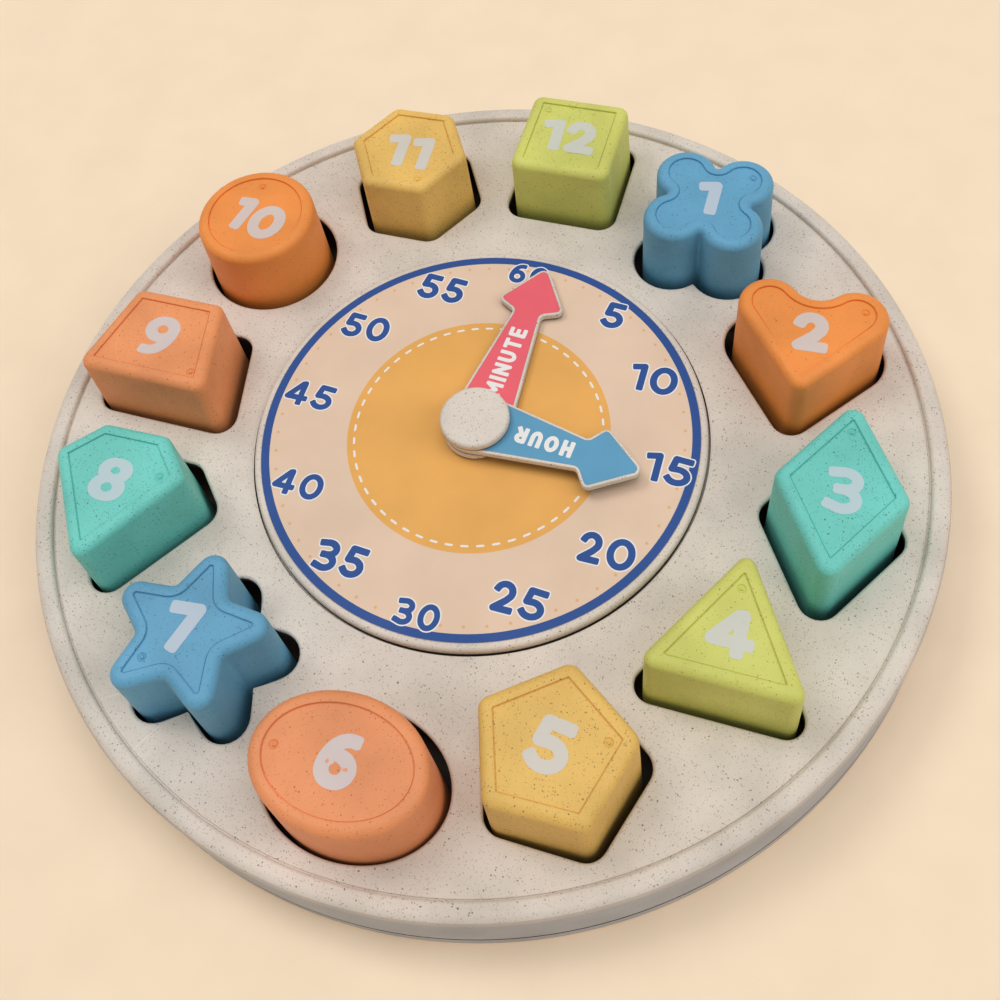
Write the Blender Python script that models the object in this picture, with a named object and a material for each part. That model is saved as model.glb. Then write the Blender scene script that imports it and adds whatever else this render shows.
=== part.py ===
"""Clock shape sorter: a round base with twelve shaped sockets, a raised dial and two turning hands.

Frame: the origin is on the table under the dial's axis, +Y runs to twelve o'clock, +X to three
o'clock and +Z up. Lengths are in metres. Every socket and its block share one outline: the block
takes it as it is, the socket takes it grown by a clearance, and the sunk top takes it shrunk.
"""
import math
from dataclasses import dataclass

import bmesh
import bpy

MM = 0.001

# Base, two shells that meet at a parting line low on the side. Its radius sets the whole plan.
BASE_RADIUS = 122.0 * MM
SIDE_DRAFT = 0.5 * MM
BASE_WALL = 2.4 * MM
PLATE_HEIGHT = 21.2 * MM
PLATE_THICKNESS = 2.2 * MM
RIM_WIDTH = 5.0 * MM
RIM_RISE = 1.5 * MM
RIM_INNER_ROUND = 1.0 * MM
RIM_OUTER_ROUND = 1.6 * MM
PARTING_HEIGHT = 4.7 * MM
FLOOR_THICKNESS = 2.0 * MM
FOOT_CHAMFER = 0.6 * MM
LIP_WALL = 1.8 * MM
LIP_RISE = 3.0 * MM

# Gap that touching pieces keep, clearance of a turning or sliding fit, and the overrun of a cut
REST_GAP = 0.3 * MM
FIT_CLEARANCE = 0.3 * MM
OVERRUN = 1.0 * MM

# Sockets and blocks. The span is the size that every block's outline is drawn to.
RING_SHARE = 0.746
BLOCK_SPAN_SHARE = 0.2787
RING_RADIUS = BASE_RADIUS * RING_SHARE
BLOCK_SPAN = BASE_RADIUS * BLOCK_SPAN_SHARE
SOCKET_CLEARANCE = 2.1 * MM
SOCKET_EDGE_ROUND = 0.9 * MM
BLOCK_HEIGHT = 38.7 * MM
BLOCK_DRAFT = 0.6 * MM
BLOCK_EDGE_ROUND = 2.3 * MM
BLOCK_MARGIN = 3.3 * MM
BLOCK_SUNK_DEPTH = 0.5 * MM
CORNER_ROUND = 3.1 * MM
SHARP_CORNER_ROUND = 2.4 * MM
LEAST_ROUND = 0.3 * MM
LID_THICKNESS = 1.6 * MM
LID_LEDGE = 2.2 * MM

# Outlines at the shoulder of each block, corners counted before rounding, as shares of the span
SQUARE_SHARE = 0.864
CLOVER_PLACE_SHARE = 0.238
CLOVER_LOBE_SHARE = 0.250
CLOVER_VALLEY_SHARE = 0.025
HEART_SPREAD_SHARE = 0.329
HEART_RISE_SHARE = 0.244
HEART_LOBE_SHARE = 0.240
HEART_NOTCH_SHARE = 0.220
HEART_TIP_SHARE = 0.391
DIAMOND_WIDTH_SHARE = 0.962
DIAMOND_LENGTH_SHARE = 1.492
TRIANGLE_REACH_SHARE = 0.665
PENTAGON_REACH_SHARE = 0.577
OVAL_LENGTH_SHARE = 1.240
OVAL_WIDTH_SHARE = 0.930
STAR_TIP_PLACE_SHARE = 0.4706
STAR_TIP_ROUND_SHARE = 0.118
STAR_VALLEY_PLACE_SHARE = 0.4235
STAR_VALLEY_ROUND_SHARE = 0.059
GEM_TABLE_SHARE = 0.541
GEM_WIDTH_SHARE = 1.128
GEM_SHOULDER_SHARE = 0.312
GEM_LENGTH_SHARE = 1.153
TRAPEZOID_TOP_SHARE = 0.787
TRAPEZOID_BOTTOM_SHARE = 1.156
TRAPEZOID_HEIGHT_SHARE = 0.824
CIRCLE_SHARE = 0.508
HEXAGON_REACH_SHARE = 0.537

# Dial, a separate disc in a sunk seat, with its printed film
DIAL_SHARE = 0.5016
DIAL_RADIUS = BASE_RADIUS * DIAL_SHARE
DIAL_RISE = 2.2 * MM
DIAL_SEAT_DEPTH = 2.0 * MM
DIAL_EDGE_ROUND = 1.0 * MM
LABEL_BORDER = 1.9 * MM
LABEL_THICKNESS = 0.3 * MM
SEAT_RIB = 2.0 * MM
PEG_RADIUS = 2.0 * MM
PEG_PLACE_SHARE = 0.65
PEG_LENGTH = 2.6 * MM
PEG_COUNT = 3
PEG_FIRST_ANGLE = 82.5

# Hands, cap and pivot. Each hand's reach is a share of the dial's radius.
HAND_THICKNESS = 2.3 * MM
HAND_GAP = 0.4 * MM
HAND_LABEL_MARGIN = 0.8 * MM
HAND_EDGE_ROUND = 0.4 * MM
HUB_RADIUS = 8.9 * MM
SHOULDER_ROUND = 1.0 * MM
NECK_ROUND = 1.5 * MM
TIP_ROUND = 2.2 * MM
CAP_RADIUS = 9.3 * MM
CAP_THICKNESS = 2.4 * MM
CAP_ROUND = 1.0 * MM
STEM_RADIUS = 3.0 * MM
PILOT_DEPTH = 9.0 * MM
WASHER_RADIUS = 7.0 * MM
WASHER_THICKNESS = 1.1 * MM
MINUTE_ANGLE = 4.0
HOUR_ANGLE = 95.0

# Screws, all of one pattern
SCREW_HEAD_RADIUS = 3.0 * MM
SCREW_HEAD_HEIGHT = 1.8 * MM
SCREW_SHANK_RADIUS = 1.4 * MM
SCREW_LENGTH = 10.0 * MM
BOSS_COUNT = 6
BOSS_RIM_DISTANCE = 14.0 * MM
BOSS_RADIUS = 4.0 * MM
BOSS_SOCKET_WALL = 2.0 * MM
BOSS_FIRST_ANGLE = 16.0

# Facets of the round forms
BASE_FACETS = 72
DIAL_FACETS = 60
HUB_FACETS = 24
SMALL_FACETS = 12
BLOCK_ROUND_STEPS = 2

# Derived heights
FLOOR_TOP = FLOOR_THICKNESS
BLOCK_FOOT = FLOOR_TOP + REST_GAP
RIM_TOP = PLATE_HEIGHT + RIM_RISE
RIM_FOOT_RADIUS = BASE_RADIUS - RIM_WIDTH
SKIRT_FOOT = PARTING_HEIGHT + REST_GAP
PLATE_UNDERSIDE = PLATE_HEIGHT - PLATE_THICKNESS
SEAT_TOP = PLATE_HEIGHT - DIAL_SEAT_DEPTH
SEAT_UNDERSIDE = SEAT_TOP - PLATE_THICKNESS
SEAT_RADIUS = DIAL_RADIUS + 2 * FIT_CLEARANCE
DIAL_TOP = PLATE_HEIGHT + DIAL_RISE
DIAL_FOOT = SEAT_TOP + REST_GAP
FILM_POCKET = LABEL_THICKNESS + REST_GAP
MINUTE_FOOT = DIAL_TOP + HAND_GAP
HOUR_FOOT = MINUTE_FOOT + HAND_THICKNESS + HAND_GAP
CAP_FOOT = HOUR_FOOT + HAND_THICKNESS + HAND_GAP
CAP_TOP = CAP_FOOT + CAP_THICKNESS
PIVOT_HOLE_RADIUS = STEM_RADIUS + FIT_CLEARANCE
PILOT_RADIUS = SCREW_SHANK_RADIUS + REST_GAP
BOSS_FOOT = FLOOR_TOP + SCREW_HEAD_HEIGHT + BOSS_SOCKET_WALL + REST_GAP
SIDE_FOOT_RADIUS = BASE_RADIUS - SIDE_DRAFT

# Derived places
LABEL_RADIUS = DIAL_RADIUS - LABEL_BORDER
PEG_PLACE = DIAL_RADIUS * PEG_PLACE_SHARE
BOSS_PLACE = BASE_RADIUS - BOSS_RIM_DISTANCE


def belt(circles):
    """Points of the closed outline drawn tight round a ring of circles, anticlockwise.

    A circle is (x, y, radius, steps). A radius below zero bends the outline the other way.
    """
    normals = []
    for index, (x, y, radius, _) in enumerate(circles):
        next_x, next_y, next_radius, _ = circles[(index + 1) % len(circles)]
        reach = math.hypot(next_x - x, next_y - y)
        lean = max(-1.0, min(1.0, (radius - next_radius) / reach))
        normals.append(math.atan2(next_y - y, next_x - x) - math.acos(lean))
    points = []
    for index, (x, y, radius, steps) in enumerate(circles):
        start = normals[index - 1]
        if radius > 0:
            sweep = (normals[index] - start) % math.tau
        else:
            sweep = -((start - normals[index]) % math.tau)
        for step in range(steps + 1):
            angle = start + sweep * step / steps
            points.append((x + radius * math.cos(angle), y + radius * math.sin(angle)))
    return points


def rounded(corners, radius, grow, steps):
    """Belt round a convex outline whose sharp corners are given anticlockwise."""
    circles = []
    for index, (x, y) in enumerate(corners):
        before = corners[index - 1]
        after = corners[(index + 1) % len(corners)]
        back = math.atan2(before[1] - y, before[0] - x)
        ahead = math.atan2(after[1] - y, after[0] - x)
        opening = (back - ahead) % math.tau
        bend = max(LEAST_ROUND, radius + grow)
        inset = (bend - grow) / math.sin(opening / 2)
        inward = ahead + opening / 2
        circles.append((x + inset * math.cos(inward), y + inset * math.sin(inward), bend, steps))
    return belt(circles)


def regular(count, reach, first_angle):
    """Corners of a regular figure, anticlockwise from its first angle in degrees."""
    angles = [math.radians(first_angle) + math.tau * index / count for index in range(count)]
    return [(reach * math.cos(angle), reach * math.sin(angle)) for angle in angles]


def ellipse(half_length, half_width, facets):
    """Points of an ellipse that is longest along X."""
    angles = [math.tau * index / facets for index in range(facets)]
    return [(half_length * math.cos(angle), half_width * math.sin(angle)) for angle in angles]


def square_outline(grow):
    """Square of block 12."""
    reach = BLOCK_SPAN * SQUARE_SHARE / math.sqrt(2)
    return rounded(regular(4, reach, 45), CORNER_ROUND, grow, 3)


def clover_outline(grow):
    """Four round lobes of block 1, with the valleys filled in by a small round."""
    lobe = BLOCK_SPAN * CLOVER_LOBE_SHARE + grow
    valley = max(LEAST_ROUND, BLOCK_SPAN * CLOVER_VALLEY_SHARE - grow)
    place = BLOCK_SPAN * CLOVER_PLACE_SHARE
    valley_place = place + math.sqrt(max(0, (lobe + valley) ** 2 - place ** 2))
    circles = []
    for quarter in range(4):
        turn = math.tau * quarter / 4
        for local_x, local_y, radius, steps in ((place, place, lobe, 7), (0, valley_place, -valley, 2)):
            x = local_x * math.cos(turn) - local_y * math.sin(turn)
            y = local_x * math.sin(turn) + local_y * math.cos(turn)
            circles.append((x, y, radius, steps))
    return belt(circles)


def heart_outline(grow):
    """Heart of block 2: two lobes, the notch between them and a rounded tip."""
    spread = BLOCK_SPAN * HEART_SPREAD_SHARE
    rise = BLOCK_SPAN * HEART_RISE_SHARE
    lobe = BLOCK_SPAN * HEART_LOBE_SHARE + grow
    notch = max(LEAST_ROUND, BLOCK_SPAN * HEART_NOTCH_SHARE - grow)
    notch_rise = math.sqrt(max(0, (lobe + notch) ** 2 - spread ** 2))
    return belt([
        (spread, rise, lobe, 8),
        (0, rise + notch_rise, -notch, 3),
        (-spread, rise, lobe, 8),
        (0, -BLOCK_SPAN * HEART_TIP_SHARE, max(LEAST_ROUND, CORNER_ROUND + grow), 4),
    ])


def diamond_outline(grow):
    """Upright diamond of block 3."""
    half_width = BLOCK_SPAN * DIAMOND_WIDTH_SHARE / 2
    half_length = BLOCK_SPAN * DIAMOND_LENGTH_SHARE / 2
    corners = [(half_width, 0), (0, half_length), (-half_width, 0), (0, -half_length)]
    return rounded(corners, CORNER_ROUND, grow, 4)


def triangle_outline(grow):
    """Equal-sided triangle of block 4, point up."""
    return rounded(regular(3, BLOCK_SPAN * TRIANGLE_REACH_SHARE, 90), SHARP_CORNER_ROUND, grow, 4)


def pentagon_outline(grow):
    """Regular pentagon of block 5, point up."""
    return rounded(regular(5, BLOCK_SPAN * PENTAGON_REACH_SHARE, 90), CORNER_ROUND, grow, 3)


def oval_outline(grow):
    """Oval of block 6."""
    half_length = BLOCK_SPAN * OVAL_LENGTH_SHARE / 2
    half_width = BLOCK_SPAN * OVAL_WIDTH_SHARE / 2
    return ellipse(half_length + grow, half_width + grow, 32)


def star_outline(grow):
    """Five-pointed star of block 7, with rounded points and valleys."""
    tip_place = BLOCK_SPAN * STAR_TIP_PLACE_SHARE
    tip = BLOCK_SPAN * STAR_TIP_ROUND_SHARE + grow
    valley_place = BLOCK_SPAN * STAR_VALLEY_PLACE_SHARE
    valley = max(LEAST_ROUND, BLOCK_SPAN * STAR_VALLEY_ROUND_SHARE - grow)
    circles = []
    for point in range(5):
        tip_angle = math.radians(90) + math.tau * point / 5
        valley_angle = tip_angle + math.pi / 5
        circles.append((tip_place * math.cos(tip_angle), tip_place * math.sin(tip_angle), tip, 4))
        circles.append((valley_place * math.cos(valley_angle), valley_place * math.sin(valley_angle), -valley, 2))
    return belt(circles)


def gem_outline(grow):
    """Cut-gem figure of block 8: a short top edge, two shoulders and a point below."""
    top = BLOCK_SPAN * GEM_LENGTH_SHARE / 2
    shoulder = top - BLOCK_SPAN * GEM_SHOULDER_SHARE
    half_width = BLOCK_SPAN * GEM_WIDTH_SHARE / 2
    half_table = BLOCK_SPAN * GEM_TABLE_SHARE / 2
    corners = [
        (half_width, shoulder),
        (half_table, top),
        (-half_table, top),
        (-half_width, shoulder),
        (0, -top),
    ]
    return rounded(corners, CORNER_ROUND, grow, 3)


def trapezoid_outline(grow):
    """Trapezoid of block 9, wide edge below."""
    half_height = BLOCK_SPAN * TRAPEZOID_HEIGHT_SHARE / 2
    half_top = BLOCK_SPAN * TRAPEZOID_TOP_SHARE / 2
    half_bottom = BLOCK_SPAN * TRAPEZOID_BOTTOM_SHARE / 2
    corners = [
        (half_top, half_height),
        (-half_top, half_height),
        (-half_bottom, -half_height),
        (half_bottom, -half_height),
    ]
    return rounded(corners, CORNER_ROUND, grow, 4)


def circle_outline(grow):
    """Circle of block 10."""
    radius = BLOCK_SPAN * CIRCLE_SHARE + grow
    return ellipse(radius, radius, 32)


def hexagon_outline(grow):
    """Regular hexagon of block 11, with a corner on each side."""
    return rounded(regular(6, BLOCK_SPAN * HEXAGON_REACH_SHARE, 0), CORNER_ROUND, grow, 2)


@dataclass(frozen=True)
class Shape:
    """One block and its socket: where the socket is cut and how the block lies in it."""
    hour: int
    name: str
    outline: object
    ring_share: float
    clock_angle: float
    play_shares: tuple
    twist: float
    colour: str


SHAPES = (
    Shape(1, "clover", clover_outline, 0.992, 29.9, (0.49, 0.66), -0.3, "blue"),
    Shape(2, "heart", heart_outline, 0.966, 64.0, (0.56, 0.59), 1.0, "orange"),
    Shape(3, "diamond", diamond_outline, 1.036, 92.4, (0.08, 0.92), 0.3, "mint"),
    Shape(4, "triangle", triangle_outline, 0.976, 121.0, (0.27, -0.19), 0.0, "lime"),
    Shape(5, "pentagon", pentagon_outline, 1.004, 150.5, (-0.59, -0.39), 1.6, "yellow"),
    Shape(6, "oval", oval_outline, 1.043, 180.2, (0.27, -0.85), -0.5, "salmon"),
    Shape(7, "star", star_outline, 0.981, 210.7, (-0.88, -0.35), 0.2, "blue"),
    Shape(8, "gem", gem_outline, 1.048, 239.2, (-0.57, -0.53), 1.2, "mint"),
    Shape(9, "trapezoid", trapezoid_outline, 0.979, 269.5, (-0.94, -0.28), 0.0, "rust"),
    Shape(10, "circle", circle_outline, 1.010, 299.3, (-0.90, 0.27), -10, "orange"),
    Shape(11, "hexagon", hexagon_outline, 0.998, 330.6, (-0.55, 0.54), 1.2, "yellow"),
    Shape(12, "square", square_outline, 1.026, 0.5, (0.16, 0.86), 0.3, "lime"),
)
BLOCK_PLAY = SOCKET_CLEARANCE - BLOCK_DRAFT - FIT_CLEARANCE

COLOURS = {
    "straw": (0.62, 0.57, 0.49, 1),
    "blue": (0.13, 0.37, 0.60, 1),
    "orange": (0.85, 0.30, 0.08, 1),
    "rust": (0.80, 0.28, 0.10, 1),
    "salmon": (0.87, 0.34, 0.16, 1),
    "mint": (0.14, 0.68, 0.54, 1),
    "lime": (0.60, 0.66, 0.12, 1),
    "yellow": (0.80, 0.51, 0.14, 1),
    "peach": (0.84, 0.62, 0.47, 1),
    "pink": (0.81, 0.14, 0.20, 1),
    "sky": (0.11, 0.35, 0.56, 1),
    "steel": (0.55, 0.55, 0.56, 1),
}


def clear_scene():
    """Remove every object, so that the model is built from nothing."""
    for item in list(bpy.data.objects):
        bpy.data.objects.remove(item, do_unlink=True)


def material(name, roughness=0.55, metallic=0.0):
    """The Principled material of one colour, made once."""
    found = bpy.data.materials.get(name)
    if found:
        return found
    made = bpy.data.materials.new(name)
    made.use_nodes = True
    shader = made.node_tree.nodes["Principled BSDF"]
    shader.inputs["Base Color"].default_value = COLOURS[name]
    shader.inputs["Roughness"].default_value = roughness
    shader.inputs["Metallic"].default_value = metallic
    return made


def add_object(name, mesh_data, place=(0, 0, 0), turn=0.0, finish=None):
    """Put a finished bmesh into the scene as a named object."""
    bmesh.ops.remove_doubles(mesh_data, verts=mesh_data.verts, dist=MM / 1000)
    bmesh.ops.recalc_face_normals(mesh_data, faces=mesh_data.faces)
    mesh = bpy.data.meshes.new(name)
    mesh_data.to_mesh(mesh)
    mesh_data.free()
    mesh.shade_smooth()
    mesh.set_sharp_from_angle(angle=math.radians(30))
    item = bpy.data.objects.new(name, mesh)
    item.location = place
    item.rotation_euler = (0, 0, turn)
    if finish:
        mesh.materials.append(finish)
    bpy.context.collection.objects.link(item)
    return item


def loft(mesh_data, rings):
    """Skin a stack of (outline, height) rings that have equal counts of points, and cap both ends."""
    loops = [[mesh_data.verts.new((x, y, height)) for x, y in outline] for outline, height in rings]
    count = len(loops[0])
    for lower, upper in zip(loops, loops[1:]):
        for index in range(count):
            after = (index + 1) % count
            mesh_data.faces.new((lower[index], lower[after], upper[after], upper[index]))
    mesh_data.faces.new(list(reversed(loops[0])))
    mesh_data.faces.new(loops[-1])


def revolve(mesh_data, profile, facets, centre=(0, 0)):
    """Turn a closed (radius, height) profile about the vertical through centre."""
    loops = []
    for radius, height in profile:
        if radius == 0:
            loops.append(height)
            continue
        ring = ellipse(radius, radius, facets)
        loops.append([mesh_data.verts.new((centre[0] + x, centre[1] + y, height)) for x, y in ring])
    for first, second in zip(loops, loops[1:] + loops[:1]):
        if isinstance(first, list) and isinstance(second, list):
            for index in range(facets):
                after = (index + 1) % facets
                mesh_data.faces.new((first[index], first[after], second[after], second[index]))
        elif isinstance(first, list) or isinstance(second, list):
            ring, height = (first, second) if isinstance(first, list) else (second, first)
            close_end(mesh_data, ring, (centre[0], centre[1], height))


def close_end(mesh_data, ring, tip):
    """Close a revolved form on its axis, with one flat face or with a cone up to the tip."""
    if math.isclose(ring[0].co.z, tip[2], abs_tol=MM / 1000):
        mesh_data.faces.new(ring)
        return
    point = mesh_data.verts.new(tip)
    for index, vertex in enumerate(ring):
        mesh_data.faces.new((vertex, ring[(index + 1) % len(ring)], point))


def arc(centre_radius, centre_height, radius, first_angle, last_angle, steps):
    """Profile points along a quarter or part of a round, angles in degrees."""
    points = []
    for step in range(steps + 1):
        angle = math.radians(first_angle + (last_angle - first_angle) * step / steps)
        points.append((centre_radius + radius * math.cos(angle), centre_height + radius * math.sin(angle)))
    return points


def guide(name, mesh_data):
    """A hidden tool body that a Boolean modifier cuts or joins with."""
    item = add_object(name, mesh_data)
    item.hide_render = True
    item.display_type = "WIRE"
    return item


def combine(target, tool, operation):
    """Add a Boolean modifier with the exact solver."""
    modifier = target.modifiers.new(tool.name, "BOOLEAN")
    modifier.operation = operation
    modifier.solver = "EXACT"
    modifier.object = tool


def socket_place(shape):
    """Centre of a socket on the plate."""
    angle = math.radians(shape.clock_angle)
    distance = RING_RADIUS * shape.ring_share
    return distance * math.sin(angle), distance * math.cos(angle)


def block_place(shape):
    """Where a block lies: its socket's centre, shifted by its share of the play."""
    x, y = socket_place(shape)
    return x + shape.play_shares[0] * BLOCK_PLAY, y + shape.play_shares[1] * BLOCK_PLAY


def shifted(outline, place):
    """An outline moved to its place on the plate."""
    return [(x + place[0], y + place[1]) for x, y in outline]


def boss_places():
    """Centres of the screw bosses, in the spaces between sockets near the rim."""
    angles = [math.radians(BOSS_FIRST_ANGLE + 360 * index / BOSS_COUNT) for index in range(BOSS_COUNT)]
    return [(BOSS_PLACE * math.sin(angle), BOSS_PLACE * math.cos(angle)) for angle in angles]


def peg_places():
    """Centres of the pegs that keep the dial from turning."""
    return regular(PEG_COUNT, PEG_PLACE, PEG_FIRST_ANGLE)


def column(radius, foot, top):
    """Profile of an upright cylinder."""
    return [(0, foot), (radius, foot), (radius, top), (0, top)]


def build_upper_shell():
    """Plate, raised rim, skirt and sunk dial seat as one revolved wall, then bosses and sockets."""
    shell = bmesh.new()
    skirt_inside = BASE_RADIUS - BASE_WALL
    rib_radius = SEAT_RADIUS + SEAT_RIB
    profile = [
        (PIVOT_HOLE_RADIUS, SEAT_TOP),
        (SEAT_RADIUS, SEAT_TOP),
        (SEAT_RADIUS, PLATE_HEIGHT),
        (RIM_FOOT_RADIUS, PLATE_HEIGHT),
    ]
    profile += arc(RIM_FOOT_RADIUS + RIM_INNER_ROUND, RIM_TOP - RIM_INNER_ROUND, RIM_INNER_ROUND, 180, 90, 2)
    profile += arc(BASE_RADIUS - RIM_OUTER_ROUND, RIM_TOP - RIM_OUTER_ROUND, RIM_OUTER_ROUND, 90, 0, 3)
    profile += [
        (SIDE_FOOT_RADIUS, SKIRT_FOOT),
        (SIDE_FOOT_RADIUS - BASE_WALL, SKIRT_FOOT),
        (skirt_inside, PLATE_UNDERSIDE),
        (rib_radius, PLATE_UNDERSIDE),
        (rib_radius, SEAT_UNDERSIDE),
        (PIVOT_HOLE_RADIUS, SEAT_UNDERSIDE),
    ]
    revolve(shell, profile, BASE_FACETS)
    upper = add_object("upper_shell", shell, finish=material("straw"))

    bosses = bmesh.new()
    boss_top = PLATE_UNDERSIDE + PLATE_THICKNESS / 2
    pilot_top = BOSS_FOOT + SCREW_LENGTH
    for place in boss_places():
        revolve(bosses, [
            (0, pilot_top),
            (PILOT_RADIUS, pilot_top),
            (PILOT_RADIUS, BOSS_FOOT),
            (BOSS_RADIUS, BOSS_FOOT),
            (BOSS_RADIUS, boss_top),
            (0, boss_top),
        ], SMALL_FACETS, place)
    combine(upper, guide("guide_bosses", bosses), "UNION")

    peg_holes = bmesh.new()
    for place in peg_places():
        hole = column(PEG_RADIUS + FIT_CLEARANCE, SEAT_UNDERSIDE - OVERRUN, SEAT_TOP + OVERRUN)
        revolve(peg_holes, hole, SMALL_FACETS, place)
    combine(upper, guide("guide_peg_holes", peg_holes), "DIFFERENCE")

    sockets = bmesh.new()
    for shape in SHAPES:
        place = socket_place(shape)
        wide = SOCKET_CLEARANCE + SOCKET_EDGE_ROUND
        half_round = SOCKET_EDGE_ROUND * (1 - math.sqrt(0.5))
        loft(sockets, [
            (shifted(shape.outline(SOCKET_CLEARANCE), place), PLATE_UNDERSIDE - OVERRUN),
            (shifted(shape.outline(SOCKET_CLEARANCE), place), PLATE_HEIGHT - SOCKET_EDGE_ROUND),
            (shifted(shape.outline(SOCKET_CLEARANCE + half_round), place), PLATE_HEIGHT - half_round),
            (shifted(shape.outline(wide), place), PLATE_HEIGHT),
            (shifted(shape.outline(wide), place), PLATE_HEIGHT + OVERRUN),
        ])
    combine(upper, guide("guide_sockets", sockets), "DIFFERENCE")
    return upper


def build_lower_shell():
    """Shallow tray that closes the base, with the lip that finds the skirt and the screw bosses."""
    tray = bmesh.new()
    lip_outside = BASE_RADIUS - SIDE_DRAFT - BASE_WALL - FIT_CLEARANCE
    lip_inside = lip_outside - LIP_WALL
    lip_top = PARTING_HEIGHT + LIP_RISE
    revolve(tray, [
        (0, 0),
        (SIDE_FOOT_RADIUS - FOOT_CHAMFER, 0),
        (SIDE_FOOT_RADIUS, FOOT_CHAMFER),
        (SIDE_FOOT_RADIUS, PARTING_HEIGHT),
        (lip_outside, PARTING_HEIGHT),
        (lip_outside, lip_top),
        (lip_inside, lip_top),
        (lip_inside, FLOOR_TOP),
        (0, FLOOR_TOP),
    ], BASE_FACETS)
    lower = add_object("lower_shell", tray, finish=material("straw"))

    towers = bmesh.new()
    tower_top = BOSS_FOOT - REST_GAP
    tower_radius = SCREW_HEAD_RADIUS + FIT_CLEARANCE + BOSS_SOCKET_WALL
    for place in boss_places():
        revolve(towers, column(tower_radius, FLOOR_TOP / 2, tower_top), SMALL_FACETS, place)
    combine(lower, guide("guide_towers", towers), "UNION")

    bores = bmesh.new()
    ledge = tower_top - BOSS_SOCKET_WALL
    for place in boss_places():
        revolve(bores, [
            (0, -OVERRUN),
            (SCREW_HEAD_RADIUS + FIT_CLEARANCE, -OVERRUN),
            (SCREW_HEAD_RADIUS + FIT_CLEARANCE, ledge),
            (PILOT_RADIUS, ledge),
            (PILOT_RADIUS, tower_top + OVERRUN),
            (0, tower_top + OVERRUN),
        ], SMALL_FACETS, place)
    combine(lower, guide("guide_bores", bores), "DIFFERENCE")
    return lower


def build_case_screws():
    """Pan-head screws, driven from below through the towers into the upper bosses."""
    head_top = BOSS_FOOT - REST_GAP - BOSS_SOCKET_WALL - REST_GAP
    shank_top = head_top + SCREW_LENGTH
    for index, place in enumerate(boss_places()):
        screw = bmesh.new()
        revolve(screw, screw_profile(head_top, shank_top), SMALL_FACETS, place)
        add_object(f"case_screw_{index + 1}", screw, finish=material("steel", 0.35, 1.0))


def screw_profile(head_top, shank_top):
    """Profile of a screw that points up, its head below."""
    return [
        (0, head_top - SCREW_HEAD_HEIGHT),
        (SCREW_HEAD_RADIUS - SCREW_HEAD_HEIGHT / 3, head_top - SCREW_HEAD_HEIGHT),
        (SCREW_HEAD_RADIUS, head_top - SCREW_HEAD_HEIGHT / 2),
        (SCREW_HEAD_RADIUS, head_top),
        (SCREW_SHANK_RADIUS, head_top),
        (SCREW_SHANK_RADIUS, shank_top - SCREW_SHANK_RADIUS),
        (0, shank_top),
    ]


def build_dial():
    """Raised disc with a sunk face for its film, and pegs that seat in the plate."""
    disc = bmesh.new()
    pocket_radius = LABEL_RADIUS + FIT_CLEARANCE
    profile = [
        (PIVOT_HOLE_RADIUS, DIAL_FOOT),
        (PIVOT_HOLE_RADIUS, DIAL_TOP - FILM_POCKET),
        (pocket_radius, DIAL_TOP - FILM_POCKET),
        (pocket_radius, DIAL_TOP),
    ]
    profile += arc(DIAL_RADIUS - DIAL_EDGE_ROUND, DIAL_TOP - DIAL_EDGE_ROUND, DIAL_EDGE_ROUND, 90, 0, 3)
    profile += [(DIAL_RADIUS, DIAL_FOOT)]
    revolve(disc, profile, DIAL_FACETS)
    dial = add_object("dial_disc", disc, finish=material("straw"))

    pegs = bmesh.new()
    for place in peg_places():
        peg = column(PEG_RADIUS, DIAL_FOOT - PEG_LENGTH, DIAL_FOOT + REST_GAP)
        revolve(pegs, peg, SMALL_FACETS, place)
    combine(dial, guide("guide_pegs", pegs), "UNION")

    film = bmesh.new()
    revolve(film, [
        (PIVOT_HOLE_RADIUS, DIAL_TOP - LABEL_THICKNESS),
        (LABEL_RADIUS, DIAL_TOP - LABEL_THICKNESS),
        (LABEL_RADIUS, DIAL_TOP),
        (PIVOT_HOLE_RADIUS, DIAL_TOP),
    ], DIAL_FACETS)
    add_object("dial_label", film, finish=material("peach"))
    return dial


@dataclass(frozen=True)
class Hand:
    """Arrow-shaped hand, measured from its hub towards its tip."""
    name: str
    length: float
    shoulder_place: float
    shoulder_width: float
    neck_place: float
    neck_width: float

    def outline(self, grow):
        """Arrowhead, neck and tapering shaft round the hub."""
        shoulder_x = self.shoulder_width / 2 - SHOULDER_ROUND
        neck_x = self.neck_width / 2 + NECK_ROUND
        return belt([
            (0, self.length - TIP_ROUND, TIP_ROUND + grow, 5),
            (-shoulder_x, self.shoulder_place, SHOULDER_ROUND + grow, 4),
            (-neck_x, self.neck_place, -(NECK_ROUND - grow), 3),
            (0, 0, HUB_RADIUS + grow, 16),
            (neck_x, self.neck_place, -(NECK_ROUND - grow), 3),
            (shoulder_x, self.shoulder_place, SHOULDER_ROUND + grow, 4),
        ])


MINUTE_SHARES = (0.895, 0.696, 0.302, 0.624, 0.1405)
HOUR_SHARES = (0.750, 0.559, 0.299, 0.480, 0.155)
MINUTE_HAND = Hand("minute_hand", *(DIAL_RADIUS * share for share in MINUTE_SHARES))
HOUR_HAND = Hand("hour_hand", *(DIAL_RADIUS * share for share in HOUR_SHARES))


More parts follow.
